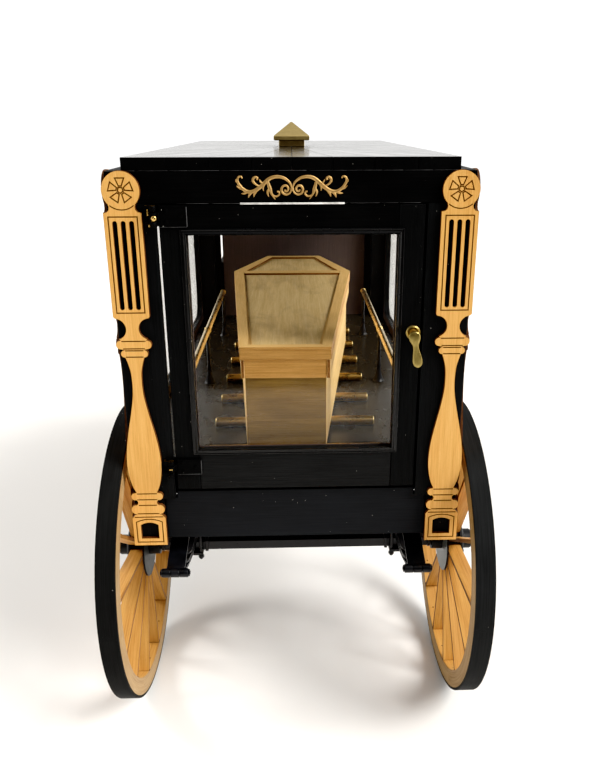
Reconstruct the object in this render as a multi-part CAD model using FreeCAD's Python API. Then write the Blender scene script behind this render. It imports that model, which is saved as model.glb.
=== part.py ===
import FreeCAD, Part
import math
import os

os.makedirs("parts", exist_ok=True)
V = FreeCAD.Vector

# ---------------------------------------------------------------- main sizes, mm
# X right, Y forward (towards the pole), Z up.  y = 0 here is the rear face of the body,
# z = 0 the ground; everything is moved back by Y_SHIFT on export.
ROOF_TOP = 224.0
ROOF_T = 4.2
ROOF_W = 110.4
BODY_L = 232.0
BODY_HALF = 60.8          # outer face of the side walls
BODY_BOTTOM = 82.0
HEADER_Z = 209.4          # underside of the header boards
DECK_TOP = 115.0
DECK_T = 2.6
PLY = 1.3                 # baluster sheet
BAL_C = 55.6              # baluster centre line from the body's middle plane
STILE_IN = 45.0           # inner edge of the corner stiles
STILE_BOTTOM = 101.0
WALL_T = 2.4

DOOR_X0, DOOR_X1 = -44.2, 44.3
DOOR_Z0, DOOR_Z1 = 105.0, 209.0
DOOR_T = 3.0
GLASS_HALF = 35.5
GLASS_Z0, GLASS_Z1 = 121.2, 199.2
HINGE_X, HINGE_Y = -45.7, -1.9

REAR_R, REAR_Y = 62.0, 32.7
FRONT_R, FRONT_Y = 42.0, 280.0
WHEEL_X0, WHEEL_X1 = 64.0, 71.2   # tread, from the middle plane
TYRE_T = 1.1
RIM_T = 6.6
AXLE_R = 2.0
BORE_R = 2.4
SPRING_X = 46.5
LEAF_W = 7.0

POLE_TIP = 500.0
Y_SHIFT = -(POLE_TIP + REAR_Y - REAR_R) / 2.0


# ---------------------------------------------------------------- helpers
def box(x0, x1, y0, y1, z0, z1):
    return Part.makeBox(x1 - x0, y1 - y0, z1 - z0, V(x0, y0, z0))


def cyl_x(r, x0, x1, y, z):
    return Part.makeCylinder(r, x1 - x0, V(x0, y, z), V(1, 0, 0))


def cyl_y(r, y0, y1, x, z):
    return Part.makeCylinder(r, y1 - y0, V(x, y0, z), V(0, 1, 0))


def cyl_z(r, z0, z1, x, y):
    return Part.makeCylinder(r, z1 - z0, V(x, y, z0), V(0, 0, 1))


def prism_xz(points, y0, y1):
    w = Part.makePolygon([V(x, y0, z) for x, z in points] + [V(points[0][0], y0, points[0][1])])
    return Part.Face(w).extrude(V(0, y1 - y0, 0))


def prism_yz(points, x0, x1):
    w = Part.makePolygon([V(x0, y, z) for y, z in points] + [V(x0, points[0][0], points[0][1])])
    return Part.Face(w).extrude(V(x1 - x0, 0, 0))


def prism_xy(points, z0, z1):
    w = Part.makePolygon([V(x, y, z0) for x, y in points] + [V(points[0][0], points[0][1], z0)])
    return Part.Face(w).extrude(V(0, 0, z1 - z0))


def fuse(shapes):
    s = shapes[0]
    if len(shapes) > 1:
        s = s.multiFuse(shapes[1:])
    return s.removeSplitter()


def mirror_x(s):
    return s.mirror(V(0, 0, 0), V(1, 0, 0))


def both(s):
    return [s, mirror_x(s)]


NODES = {}


def node(name, solids):
    flat = []
    for s in (solids if isinstance(solids, list) else [solids]):
        flat += s.Solids
    for s in flat:
        s.translate(V(0, Y_SHIFT, 0))
    NODES[name] = Part.makeCompound(flat) if len(flat) > 1 else flat[0]


# ---------------------------------------------------------------- flat balusters
# name, half width, z top, z bottom, end shape  (z is measured down from the roof top)
BAL_BANDS = [
    ("nick", 4.5, -15.0, -17.4, "square"),
    ("fluted", 6.3, -17.3, -52.2, "square"),
    ("ring_a", 6.2, -60.5, -63.8, "round"),
    ("link_a", 4.0, -63.6, -64.2, "square"),
    ("ring_b", 4.75, -64.0, -66.8, "round"),
    ("ring_c", 5.95, -119.5, -122.7, "round"),
    ("cove", 3.4, -122.5, -124.7, "square"),
    ("ring_d", 6.25, -124.5, -128.6, "round"),
    ("block", 6.3, -129.6, -142.0, "square"),
]
# half width, z  of the vase
VASE = [(3.4, -66.6), (2.75, -68.6), (2.05, -71.5), (1.8, -75.0), (1.85, -79.0), (2.3, -83.0), (3.35, -88.5),
        (4.75, -95.0), (5.8, -101.0), (6.3, -107.0), (6.05, -112.0), (5.1, -116.5), (3.7, -119.8)]
SLOT_X = [-2.75, 0.0, 2.75]
SLOT_W = 1.45
SLOT_Z = (-20.0, -49.7)


def band(hw, z1, z0, ends, t):
    if ends == "square":
        return box(-hw, hw, -t, 0, z0, z1)
    r = (z1 - z0) / 2.0
    zc = (z1 + z0) / 2.0
    return fuse([box(-hw + r, hw - r, -t, 0, z0, z1), cyl_y(r, -t, 0, -hw + r, zc), cyl_y(r, -t, 0, hw - r, zc)])


def vase(t):
    right = [V(x, 0, z) for x, z in VASE]
    left = [V(-x, 0, z) for x, z in reversed(VASE)]
    c1, c2 = Part.BSplineCurve(), Part.BSplineCurve()
    c1.interpolate(right)
    c2.interpolate(left)
    w = Part.Wire([c1.toShape(), Part.makeLine(right[-1], left[0]), c2.toShape(), Part.makeLine(left[-1], right[0])])
    return Part.Face(w).extrude(V(0, -t, 0))


def baluster(t=PLY):
    """Flat baluster in the XZ plane, back face on y = 0, front on y = -t."""
    parts = [cyl_y(6.25, -t, 0, 0, -10.25)]
    for _, hw, z1, z0, ends in BAL_BANDS:
        parts.append(band(hw, z1, z0, ends, t))
    throat = box(-6.0, 6.0, -t, 0, -60.8, -52.0)
    for s in (-1, 1):
        throat = throat.cut(cyl_y(3.7, -t - 1, 1, s * 5.95, -56.5))
    parts.append(throat)
    parts.append(vase(t))
    parts.append(prism_xz([(-6.0, -129.8), (6.0, -129.8), (5.0, -128.4), (-5.0, -128.4)], -t, 0))
    s = fuse(parts)
    for x in SLOT_X:
        r = SLOT_W / 2.0
        s = s.cut(box(x - r, x + r, -t - 1, 1, SLOT_Z[1] + r, SLOT_Z[0] - r))
        for z in (SLOT_Z[1] + r, SLOT_Z[0] - r):
            s = s.cut(cyl_y(r, -t - 1, 1, x, z))
    hole = box(-3.3, 3.3, -t - 1, 1, -138.9, -134.0)
    arch = cyl_y(3.9, -t - 1, 1, 0, -136.1).common(box(-3.3, 3.3, -t - 1, 1, -134.1, -130.0))
    s = s.cut(fuse([hole, arch]))
    s.translate(V(0, 0, ROOF_TOP))
    return s


def turned(s, deg, pos):
    c = s.copy()
    c.rotate(V(0, 0, 0), V(0, 0, 1), deg)
    c.translate(pos)
    return c


BAL = baluster()
# face, turn about z, x, y
BAL_PLACES = {
    "rear": [(0, -BAL_C, 0.0), (0, BAL_C, 0.0)],
    "side": [(90, BODY_HALF, 6.6), (-90, -BODY_HALF, 6.6),
                       (90, BODY_HALF, BODY_L - 6.6), (-90, -BODY_HALF, BODY_L - 6.6)],
    "front": [(180, -BAL_C, BODY_L), (180, BAL_C, BODY_L)],
}
node("balusters", [turned(BAL, deg, V(x, y, 0)) for places in BAL_PLACES.values() for deg, x, y in places])

# ---------------------------------------------------------------- roof, header boards, finial
roof = box(-ROOF_W / 2, ROOF_W / 2, 0, BODY_L, ROOF_TOP - ROOF_T, ROOF_TOP)
cy = BODY_L / 2.0
node("roof_slab", roof)

node("header_boards", [
    box(-BODY_HALF, BODY_HALF, 0.0, 4.0, HEADER_Z, ROOF_TOP - ROOF_T),
    box(-BODY_HALF, BODY_HALF, BODY_L - 4.0, BODY_L, HEADER_Z, ROOF_TOP - ROOF_T),
])

fin_base = box(-5.9, 5.9, cy - 5.9, cy + 5.9, ROOF_TOP, ROOF_TOP + 2.7)
fin_eave = box(-8.2, 8.2, cy - 8.2, cy + 8.2, ROOF_TOP + 2.7, ROOF_TOP + 4.9)
b = 7.7
pyr = Part.makeLoft([
    Part.makePolygon([V(-b, cy - b, 4.9 + ROOF_TOP), V(b, cy - b, 4.9 + ROOF_TOP), V(b, cy + b, 4.9 + ROOF_TOP),
                      V(-b, cy + b, 4.9 + ROOF_TOP), V(-b, cy - b, 4.9 + ROOF_TOP)]),
    Part.makePolygon([V(-.15, cy - .15, 10.9 + ROOF_TOP), V(.15, cy - .15, 10.9 + ROOF_TOP), V(.15, cy + .15, 10.9 + ROOF_TOP),
                      V(-.15, cy + .15, 10.9 + ROOF_TOP), V(-.15, cy - .15, 10.9 + ROOF_TOP)])], True, True)
node("roof_finial", fuse([fin_base, fin_eave, pyr]))

# ---------------------------------------------------------------- corner posts
WALL_Y0 = 13.0            # the side walls start here; the posts' side flanges end just short of it


def corner_post():
    a = box(STILE_IN, BODY_HALF, 0.0, 4.0, STILE_BOTTOM, HEADER_Z)
    a2 = box(49.6, BODY_HALF, 0.0, 12.0, BODY_BOTTOM, HEADER_Z)
    c = box(BODY_HALF - WALL_T, BODY_HALF, 0.0, WALL_Y0 - 0.1, STILE_BOTTOM, HEADER_Z)
    return fuse([a, a2, c])


post_rr = corner_post()
# the right rear post keeps the door opening 0.2 mm narrower
post_fr = post_rr.mirror(V(0, BODY_L / 2.0, 0), V(0, 1, 0))
front_slit = box(STILE_IN - 1, 46.2, BODY_L - 5, BODY_L + 1, STILE_BOTTOM - 1, HEADER_Z + 1)
post_fr = post_fr.cut(front_slit)
node("corner_posts", both(post_rr) + both(post_fr))

rear_panel = fuse([box(-44.9, 44.9, 1.5, 4.4, 83.5, DOOR_Z0 - 0.6), box(-49.5, 49.5, 1.5, 4.4, 83.5, STILE_BOTTOM - 0.1)])
node("end_panels", [rear_panel, fuse([
    box(-44.8, 44.8, BODY_L - 4.0, BODY_L - 0.6, 83.5, HEADER_Z - 0.1),
    box(-49.5, 49.5, BODY_L - 4.0, BODY_L - 1.5, 83.5, 100.9),
])])

# ---------------------------------------------------------------- side walls with rounded window openings
WIN_Y0, WIN_Y1 = 14.3, BODY_L - 14.3
WIN_Z0, WIN_Z1 = 119.0, 205.0
WIN_R = 10.0


def rounded_opening(y0, y1, z0, z1, r, x0, x1):
    s = fuse([box(x0, x1, y0 + r, y1 - r, z0, z1), box(x0, x1, y0, y1, z0 + r, z1 - r)]
             + [cyl_x(r, x0, x1, y, z) for y in (y0 + r, y1 - r) for z in (z0 + r, z1 - r)])
    return s


wall = box(BODY_HALF - WALL_T, BODY_HALF, WALL_Y0, BODY_L - WALL_Y0, BODY_BOTTOM + 1.5, ROOF_TOP - ROOF_T)
wall = wall.cut(rounded_opening(WIN_Y0, WIN_Y1, WIN_Z0, WIN_Z1, WIN_R, BODY_HALF - 10, BODY_HALF + 2))
ends = [box(BODY_HALF - WALL_T, BODY_HALF, 4.1, WALL_Y0, HEADER_Z + 0.1, ROOF_TOP - ROOF_T),
        box(BODY_HALF - WALL_T, BODY_HALF, BODY_L - WALL_Y0, BODY_L - 4.1, HEADER_Z + 0.1, ROOF_TOP - ROOF_T),
        box(BODY_HALF - WALL_T, BODY_HALF, 12.1, WALL_Y0, BODY_BOTTOM + 1.5, STILE_BOTTOM - 0.1),
        box(BODY_HALF - WALL_T, BODY_HALF, BODY_L - WALL_Y0, BODY_L - 12.1, BODY_BOTTOM + 1.5, STILE_BOTTOM - 0.1)]

pane = rounded_opening(WIN_Y0 + 0.1, WIN_Y1 - 0.1, WIN_Z0 + 0.1, WIN_Z1 - 0.1, WIN_R - 0.1, BODY_HALF - 1.6, BODY_HALF - 0.8)
node("side_panes", both(pane))

# raised frames round the side windows
frame_o = rounded_opening(WIN_Y0 - 1.2, WIN_Y1 + 1.2, WIN_Z0 - 1.2, WIN_Z1 + 1.2, WIN_R + 1.2, BODY_HALF, BODY_HALF + 0.9)
frame_i = rounded_opening(WIN_Y0, WIN_Y1, WIN_Z0, WIN_Z1, WIN_R, BODY_HALF - 1, BODY_HALF + 2)
node("side_walls", both(fuse([wall, frame_o.cut(frame_i)] + ends)))

# rails along the wall tops, which the roof slab lies on
node("roof_rails", both(box(51.6, BODY_HALF - WALL_T - 0.1, 4.1, BODY_L - 4.1, ROOF_TOP - ROOF_T - 4.4, ROOF_TOP - ROOF_T)))

# ---------------------------------------------------------------- deck and what stands on it
inner = BODY_HALF - WALL_T - 0.1
deck = box(-inner, inner, 4.6, BODY_L - 4.2, DECK_TOP - DECK_T, DECK_TOP)
for s in (-1, 1):
    a, c = sorted((s * 49.5, s * 70.0))
    for ya, yb in ((-1.0, 12.1), (BODY_L - 12.1, BODY_L + 1.0)):
        deck = deck.cut(box(a, c, ya, yb, DECK_TOP - 5, DECK_TOP + 5))
node("deck", deck)
node("underfloor", box(-49.4, 49.4, 4.6, BODY_L - 4.2, 84.0, 87.0))

ROLLER_R = 2.0
ROLLER_HALF = 33.0
ROLLER_Y = [8.6 + 28.3 * i for i in range(7)]
node("rollers", [cyl_x(ROLLER_R, -ROLLER_HALF, ROLLER_HALF, y, DECK_TOP + ROLLER_R) for y in ROLLER_Y])

RAIL_X, RAIL_Z, RAIL_R = 41.2, 141.0, 1.6
RAIL_Y = (8.0, 93.0, 180.0)
rails = []
for s in (-1, 1):
    rails.append(cyl_y(RAIL_R, RAIL_Y[0], RAIL_Y[1] - 0.4, s * RAIL_X, RAIL_Z))
    rails.append(cyl_y(RAIL_R, RAIL_Y[1] + 0.4, RAIL_Y[2], s * RAIL_X, RAIL_Z))
node("side_rails", rails)
legs = []
for s in (-1, 1):
    for y in RAIL_Y:
        yy = min(max(y, RAIL_Y[0] + 2.0), RAIL_Y[2] - 2.0)
        leg = fuse([cyl_z(0.9, DECK_TOP, RAIL_Z - RAIL_R - 0.05, s * RAIL_X, yy),
                    Part.makeCone(2.8, 0.9, 7.0, V(s * RAIL_X, yy, DECK_TOP), V(0, 0, 1))])
        legs.append(leg)
node("rail_legs", legs)

# ---------------------------------------------------------------- coffin: six-sided, foot to the door
# y, half width
COFFIN = [(8.0, 15.0), (151.5, 29.6), (199.5, 14.2)]
COF_Z0 = DECK_TOP + 2 * ROLLER_R
COF_TURN, COF_DX = -1.05, -3.2


def hexagon(grow, z0, z1, y_grow=None):
    yg = grow if y_grow is None else y_grow
    pts = [(-(COFFIN[0][1] + grow), COFFIN[0][0] - yg), (COFFIN[0][1] + grow, COFFIN[0][0] - yg),
           (COFFIN[1][1] + grow * 1.1, COFFIN[1][0] + grow * 0.2), (COFFIN[2][1] + grow * 0.9, COFFIN[2][0] + yg),
           (-(COFFIN[2][1] + grow * 0.9), COFFIN[2][0] + yg), (-(COFFIN[1][1] + grow * 1.1), COFFIN[1][0] + grow * 0.2)]
    return prism_xy(pts, z0, z1)


def place_coffin(s):
    s.rotate(V(0, 8.0, 0), V(0, 0, 1), COF_TURN)
    s.translate(V(COF_DX, 0, 0))
    return s


cof_body = hexagon(0.0, COF_Z0, 146.2).cut(hexagon(-2.2, COF_Z0 + 2.5, 150))
node("coffin_box", place_coffin(cof_body))
lid = fuse([hexagon(1.7, 153.4, 157.4), hexagon(0.9, 146.2, 153.4)])
panel_pts = [(-13.3, 9.6), (13.3, 9.6), (26.2, 146.5), (-26.2, 146.5)]
head_pts = [(-25.6, 153.6), (25.6, 153.6), (12.9, 196.4), (-12.9, 196.4)]
border = hexagon(1.7, 157.4, 158.3)
for pts in (panel_pts, head_pts):
    border = border.cut(prism_xy(pts, 157.0, 159.0))
node("coffin_lid", place_coffin(fuse([lid, border])))

# ---------------------------------------------------------------- rear door
door = box(DOOR_X0, DOOR_X1, 0.0, DOOR_T, DOOR_Z0, DOOR_Z1)
door = door.cut(box(-GLASS_HALF, GLASS_HALF, -1, 6, GLASS_Z0, GLASS_Z1))
node("door_frame", door)
node("door_pane", box(-GLASS_HALF, GLASS_HALF, 1.6, 2.4, GLASS_Z0, GLASS_Z1))
m = 2.1


def moulding_piece(x0, z0, x1, z1, nx, nz):
    # mitred strip along one side of the opening; (nx, nz) points outwards
    a = (x0, z0)
    c = (x1, z1)
    ux, uz = (x1 - x0), (z1 - z0)
    d = math.hypot(ux, uz)
    ux, uz = ux / d, uz / d
    pts = [a, c, (c[0] + nx * m + ux * m, c[1] + nz * m + uz * m), (a[0] + nx * m - ux * m, a[1] + nz * m - uz * m)]
    return prism_xz(pts, -0.9, 0.0)


g, z0, z1 = GLASS_HALF, GLASS_Z0, GLASS_Z1
node("door_moulding", fuse([
    moulding_piece(-g, z0, g, z0, 0, -1), moulding_piece(g, z0, g, z1, 1, 0),
    moulding_piece(g, z1, -g, z1, 0, 1), moulding_piece(-g, z1, -g, z0, -1, 0)]))

# strap hinges: knuckle and leaf on the door, pin and short leaf on the stile
HINGES = [(201.9, 209.0), (111.6, 117.6)]
straps, pins = [], []
for hz0, hz1 in HINGES:
    mid0, mid1 = hz0 + (hz1 - hz0) * 0.3, hz0 + (hz1 - hz0) * 0.7
    leaf = box(HINGE_X, -34.8, -0.8, 0.0, hz0, hz1)
    # the leaf near the knuckle is cut back so that the stile's knuckles have room
    leaf = leaf.cut(box(HINGE_X - 3, HINGE_X + 2.1, -3, 1, hz0 - 1, mid0)).cut(box(HINGE_X - 3, HINGE_X + 2.1, -3, 1, mid1, hz1 + 1))
    leaf = leaf.cut(box(HINGE_X - 3, DOOR_X0, -0.4, 1, hz0 - 1, hz1 + 1))
    knuckle = cyl_z(1.3, mid0 + 0.05, mid1 - 0.05, HINGE_X, HINGE_Y)
    web = box(HINGE_X, HINGE_X + 1.9, HINGE_Y - 0.1, -0.3, mid0 + 0.05, mid1 - 0.05)
    s = fuse([leaf, knuckle, web]).cut(cyl_z(0.75, hz0 - 1, hz1 + 1, HINGE_X, HINGE_Y))
    straps.append(s)
    p = [cyl_z(0.5, hz0 + 0.1, hz1 - 0.1, HINGE_X, HINGE_Y)]
    for a0, a1 in ((hz0, mid0 - 0.25), (mid1 + 0.25, hz1)):
        p.append(cyl_z(1.2, a0, a1, HINGE_X, HINGE_Y))
        p.append(box(HINGE_X - 2.6, HINGE_X, HINGE_Y - 0.3, HINGE_Y + 0.4, a0, a1))
        p.append(box(HINGE_X - 2.6, HINGE_X - 1.9, HINGE_Y, 0.0, a0, a1))
    pins.append(fuse(p))
node("door_hinge_straps", straps)
node("door_hinge_pins", pins)

# lever handle: rose, spindle and drooping lever
HAN_X, HAN_Z = 41.7, 165.1
rose = cyl_y(2.6, -1.1, 0.0, HAN_X, HAN_Z)
spindle = cyl_y(1.3, -3.4, 0.0, HAN_X, HAN_Z)
LEVER = [(0.0, 1.7), (-1.25, 0.6), (-1.25, -1.6), (-0.7, -3.2), (-1.0, -7.5), (-1.6, -9.8), (-1.3, -11.8), (0.0, -12.6),
         (1.3, -11.8), (1.6, -9.8), (1.0, -7.5), (0.7, -3.2), (1.25, -1.6), (1.25, 0.6)]
lever = prism_xz(LEVER, -4.2, -2.9)
lever.rotate(V(0, 0, 0), V(0, 1, 0), -9.0)
lever.translate(V(HAN_X, 0, HAN_Z))
node("door_handle", fuse([rose, spindle, lever]))

# ---------------------------------------------------------------- driver's box
boot = fuse([
    box(-44.8, 44.8, BODY_L + 0.2, 300.0, 96.0, 99.0),
    box(-46.8, 46.8, BODY_L + 0.2, 288.0, 99.0, 128.0),
    box(-14.0, 14.0, 266.0, 294.0, 90.0, 96.0),
])
seat = [
    box(-46.8, 46.8, BODY_L + 1.6, 281.0, 128.0, 146.0),
    box(-48.0, 48.0, BODY_L + 1.6, 285.0, 146.0, 149.0),
]
node("seat_cushion", box(-42.2, 42.2, BODY_L + 4.0, 282.0, 149.0, 155.0))
SIDE_RAIL = [(BODY_L + 1.8, 149.0), (BODY_L + 1.8, 170.0), (BODY_L + 7.0, 170.5), (262.0, 162.0), (274.0, 156.0), (280.0, 149.0)]
rails_ = [prism_yz(SIDE_RAIL, -44.4, -42.6), prism_yz(SIDE_RAIL, 42.6, 44.4), box(-42.6, 42.6, BODY_L + 1.8, BODY_L + 3.8, 155.1, 170.0)]
node("seat", fuse(seat + rails_))
FOOT = [(288.1, 106.0), (306.0, 106.0), (332.0, 124.0), (332.0, 127.4), (305.0, 109.0), (288.1, 109.0)]
node("footboard", fuse([prism_yz(FOOT, -40.0, 40.0), prism_yz([(329.6, 122.4), (332.0, 124.0), (332.0, 131.0), (329.6, 131.0)], -40.0, 40.0)]))
brk = prism_yz([(288.1, 99.2), (292.0, 99.2), (309.0, 104.9), (327.0, 117.4), (327.0, 120.1), (306.2, 105.8), (288.1, 105.8)], 28.0, 31.0)
node("boot", [boot] + both(brk))

# ---------------------------------------------------------------- full elliptic springs
def leaf_arc(y_half, z_eye, z_mid, t, x0, x1, y_c):
    """one bowed leaf: arc through both ends and the middle, t thick on the inside"""
    up = 1.0 if z_mid > z_eye else -1.0

    def arc(dz, cut):
        return Part.Arc(V(x0, y_c - y_half + cut, z_eye + dz), V(x0, y_c, z_mid + dz), V(x0, y_c + y_half - cut, z_eye + dz)).toShape()

    a, c = arc(0.0, 0.0), arc(-up * t, 0.0)
    w = Part.Wire([a, Part.makeLine(a.Vertexes[1].Point, c.Vertexes[1].Point), c, Part.makeLine(c.Vertexes[0].Point, a.Vertexes[0].Point)])
    return Part.Face(w).extrude(V(x1 - x0, 0, 0))


def arc_z(y, y_half, z_eye, z_mid):
    h = z_mid - z_eye
    r = (y_half ** 2 + h ** 2) / (2.0 * abs(h))
    s = 1.0 if h > 0 else -1.0
    return z_mid - s * (r - math.sqrt(max(r * r - y * y, 0.0)))


def elliptic(y_c, y_half, z_low, z_top, leaves, x_c=SPRING_X):
    """upper and lower packs meeting in rolled eyes; z_low and z_top are the outer leaf faces at the middle"""
    z_eye = (z_low + z_top) / 2.0
    t = 1.1
    out = []
    for sgn, z_mid in ((1.0, z_top), (-1.0, z_low)):
        for i in range(leaves):
            k = 1.0 - 0.22 * i
            half = y_half * k
            zm = z_mid - sgn * i * t
            ze = arc_z(half, y_half, z_eye, z_mid) - sgn * i * t
            hw = LEAF_W / 2.0 - 0.15 * i
            out.append(leaf_arc(half, ze, zm, t, x_c - hw, x_c + hw, y_c))
    for s in (-1, 1):
        out.append(cyl_x(1.75, x_c - 5.8, x_c + 5.8, y_c + s * y_half, z_eye))
    return fuse(out)


REAR_HALF, REAR_LOW, REAR_TOP = 38.5, 64.2, 80.8
rear_spring = elliptic(REAR_Y, REAR_HALF, REAR_LOW, REAR_TOP, 3)
pad = box(SPRING_X - 4.2, SPRING_X + 2.8, REAR_Y - 7.0, REAR_Y + 7.0, REAR_TOP - 0.3, 83.9)
node("rear_springs", both(fuse([rear_spring, pad])))

# rear axle: bar between the springs, round arms through the hubs
bar_r = box(-58.0, 58.0, REAR_Y - 2.1, REAR_Y + 2.1, 59.9, REAR_LOW - 0.02)
arms = [cyl_x(AXLE_R, 57.0, 75.6, REAR_Y, REAR_R), cyl_x(AXLE_R, -75.6, -57.0, REAR_Y, REAR_R)]


def clamp(x_c, y_c, z_axle_bottom, z_top):
    out = []
    for dx in (-5.2, 5.2):
        for dy in (-3.4, 3.4):
            out.append(cyl_z(0.75, z_axle_bottom - 3.6, z_top, x_c + dx, y_c + dy))
    out.append(box(x_c - 6.2, x_c + 6.2, y_c - 4.4, y_c + 4.4, z_axle_bottom - 1.5, z_axle_bottom - 0.02))
    out.append(box(x_c - 6.2, x_c + 6.2, y_c - 4.4, y_c + 4.4, z_top - 1.2, z_top))
    return fuse(out)


node("rear_axle", [fuse([bar_r] + arms)] + both(clamp(SPRING_X, REAR_Y, 59.9, 69.2)))

# ---------------------------------------------------------------- turntable
RING_O, RING_I = 31.0, 25.0


def ring(z0, z1):
    r = cyl_z(RING_O, z0, z1, 0, FRONT_Y).cut(cyl_z(RING_I, z0 - 1, z1 + 1, 0, FRONT_Y))
    cross = [box(-RING_I - 1, RING_I + 1, FRONT_Y - 4, FRONT_Y + 4, z0, z1), box(-4, 4, FRONT_Y - RING_I - 1, FRONT_Y + RING_I + 1, z0, z1),
             cyl_z(8.0, z0, z1, 0, FRONT_Y)]
    return fuse([r] + cross)


node("turntable_upper", ring(86.6, 89.9))
node("kingpin", fuse([cyl_z(2.2, 66.0, 86.5, 0, FRONT_Y), cyl_z(4.0, 63.6, 66.0, 0, FRONT_Y)]))
pin_hole = cyl_z(2.6, 60.0, 90.0, 0, FRONT_Y)
lower_ring = ring(82.7, 86.1)
node("bolster", fuse([lower_ring, box(-53.0, 53.0, FRONT_Y - 4.5, FRONT_Y + 4.5, 77.2, 82.7), cyl_z(9.0, 77.2, 82.7, 0, FRONT_Y)]).cut(pin_hole))
FH, FLOW, FTOP = 31.0, 44.2, 72.0
front_spring = elliptic(FRONT_Y, FH, FLOW, FTOP, 3)
pad = box(SPRING_X - 4.0, SPRING_X + 4.0, FRONT_Y - 6.5, FRONT_Y + 6.5, FTOP - 0.3, 77.1)
node("front_springs", both(fuse([front_spring, pad])))
bar_f = box(-58.0, 58.0, FRONT_Y - 2.1, FRONT_Y + 2.1, 39.9, FLOW - 0.02)
arms_f = [cyl_x(AXLE_R, 57.0, 75.6, FRONT_Y, FRONT_R), cyl_x(AXLE_R, -75.6, -57.0, FRONT_Y, FRONT_R)]
node("front_axle", [fuse([bar_f] + arms_f)] + both(clamp(SPRING_X, FRONT_Y, 39.9, 49.2)))

# futchells carry the splinter bar and the pole
fut = prism_yz([(FRONT_Y - 12.0, 70.4), (FRONT_Y + 12.0, 70.4), (332.0, 64.4), (332.0, 68.9), (FRONT_Y + 12.0, 77.1), (FRONT_Y - 12.0, 77.1)], 6.0, 9.6)
fut = fut.cut(box(0.0, 20.0, 325.5, 331.1, 68.95, 80.0))
node("futchells", both(fut))
node("splinter_bar", fuse([
    box(-62.0, 62.0, 325.6, 331.0, 69.0, 73.0),
] + [cyl_z(1.5, 73.0, 77.5, x, 328.3) for x in (-56.0, -20.0, 20.0, 56.0)]
  + [cyl_z(2.4, 77.5, 78.7, x, 328.3) for x in (-56.0, -20.0, 20.0, 56.0)]))
POLE_Z = 66.6
pole = fuse([
    box(-3.6, 3.6, 300.0, 346.0, POLE_Z - 2.3, POLE_Z + 2.3),
    Part.makeCone(3.25, 2.2, POLE_TIP - 10.0 - 345.0, V(0, 345.0, POLE_Z), V(0, 1, 0)),
])
pole_ring = fuse([cyl_y(3.0, POLE_TIP - 16.2, POLE_TIP - 13.8, 0, POLE_Z), cyl_z(0.9, POLE_Z + 2.0, POLE_Z + 5.2, 0, POLE_TIP - 15.0)]).cut(pole)
node("pole_end", [fuse([cyl_y(2.4, POLE_TIP - 10.0, POLE_TIP, 0, POLE_Z), cyl_y(3.1, POLE_TIP - 10.0, POLE_TIP - 8.6, 0, POLE_Z)]), pole_ring])
node("pole", pole)

# ---------------------------------------------------------------- wheels
# name, radius, y, side, spokes, phase in degrees from straight ahead, hub disc radius
WHEELS = [
    ("rear_left", REAR_R, REAR_Y, -1, 14, 16.8, 13.5),
    ("rear_right", REAR_R, REAR_Y, 1, 14, 21.5, 13.5),
    ("front_left", FRONT_R, FRONT_Y, -1, 12, 15.0, 11.0),
    ("front_right", FRONT_R, FRONT_Y, 1, 12, 3.0, 11.0),
]
SPOKE_T = 1.5
SPOKE_X = (64.3, 70.4)
NAVE_SHARE = 0.55
HUB_X0, HUB_X1 = 58.8, 76.6


def wheel(name, r, yc, side, count, phase, disc_r):
    rim_o = r - TYRE_T
    rim_i = r - TYRE_T - RIM_T
    rim = cyl_x(rim_o, WHEEL_X0, WHEEL_X1, yc, r).cut(cyl_x(rim_i, WHEEL_X0 - 1, WHEEL_X1 + 1, yc, r))
    nave_r = disc_r * NAVE_SHARE
    nave = cyl_x(nave_r, SPOKE_X[0], SPOKE_X[1], yc, r)
    parts = [rim, nave]
    for i in range(count):
        a = phase + 360.0 * i / count
        # strip, broad along the axle, standing on the nave
        s = prism_xz([(SPOKE_X[0], nave_r - 0.6), (SPOKE_X[1], nave_r - 0.6), (SPOKE_X[1], rim_i + 0.8), (SPOKE_X[0], rim_i + 0.8)],
                     -SPOKE_T / 2.0, SPOKE_T / 2.0)
        s.rotate(V(0, 0, 0), V(1, 0, 0), a - 90.0)
        s.translate(V(0, yc, r))
        parts.append(s)
    w = fuse(parts).cut(cyl_x(4.2, WHEEL_X0 - 2, WHEEL_X1 + 2, yc, r))
    tyre = cyl_x(r, WHEEL_X0, WHEEL_X1, yc, r).cut(cyl_x(rim_o, WHEEL_X0 - 1, WHEEL_X1 + 1, yc, r))
    hub = fuse([cyl_x(4.2, HUB_X0, HUB_X1, yc, r), cyl_x(disc_r, WHEEL_X0 - 0.5, SPOKE_X[0], yc, r),
                cyl_x(disc_r * 0.62, SPOKE_X[1], WHEEL_X1 + 0.6, yc, r)])
    hub = hub.cut(cyl_x(BORE_R, HUB_X0 - 1, 75.9, yc, r))
    for nm, s in (("wheel", w), ("tyre", tyre), ("hub", hub)):
        if side < 0:
            s = mirror_x(s)
        node("%s_%s" % (name, nm), s)


for row in WHEELS:
    wheel(*row)

# ---------------------------------------------------------------- write one STEP per node
for name, shape in NODES.items():
    for s in shape.Solids:
        if not s.isValid():
            print("INVALID", name)
    shape.exportStep("parts/%s.step" % name)
bb = Part.makeCompound(list(NODES.values())).BoundBox
print(len(NODES), "nodes; bbox", [round(v, 2) for v in (bb.XMin, bb.XMax, bb.YMin, bb.YMax, bb.ZMin, bb.ZMax)], "shift", Y_SHIFT)
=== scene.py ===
import math
import random

import bmesh
import bpy
from mathutils import Matrix, Vector


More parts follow.
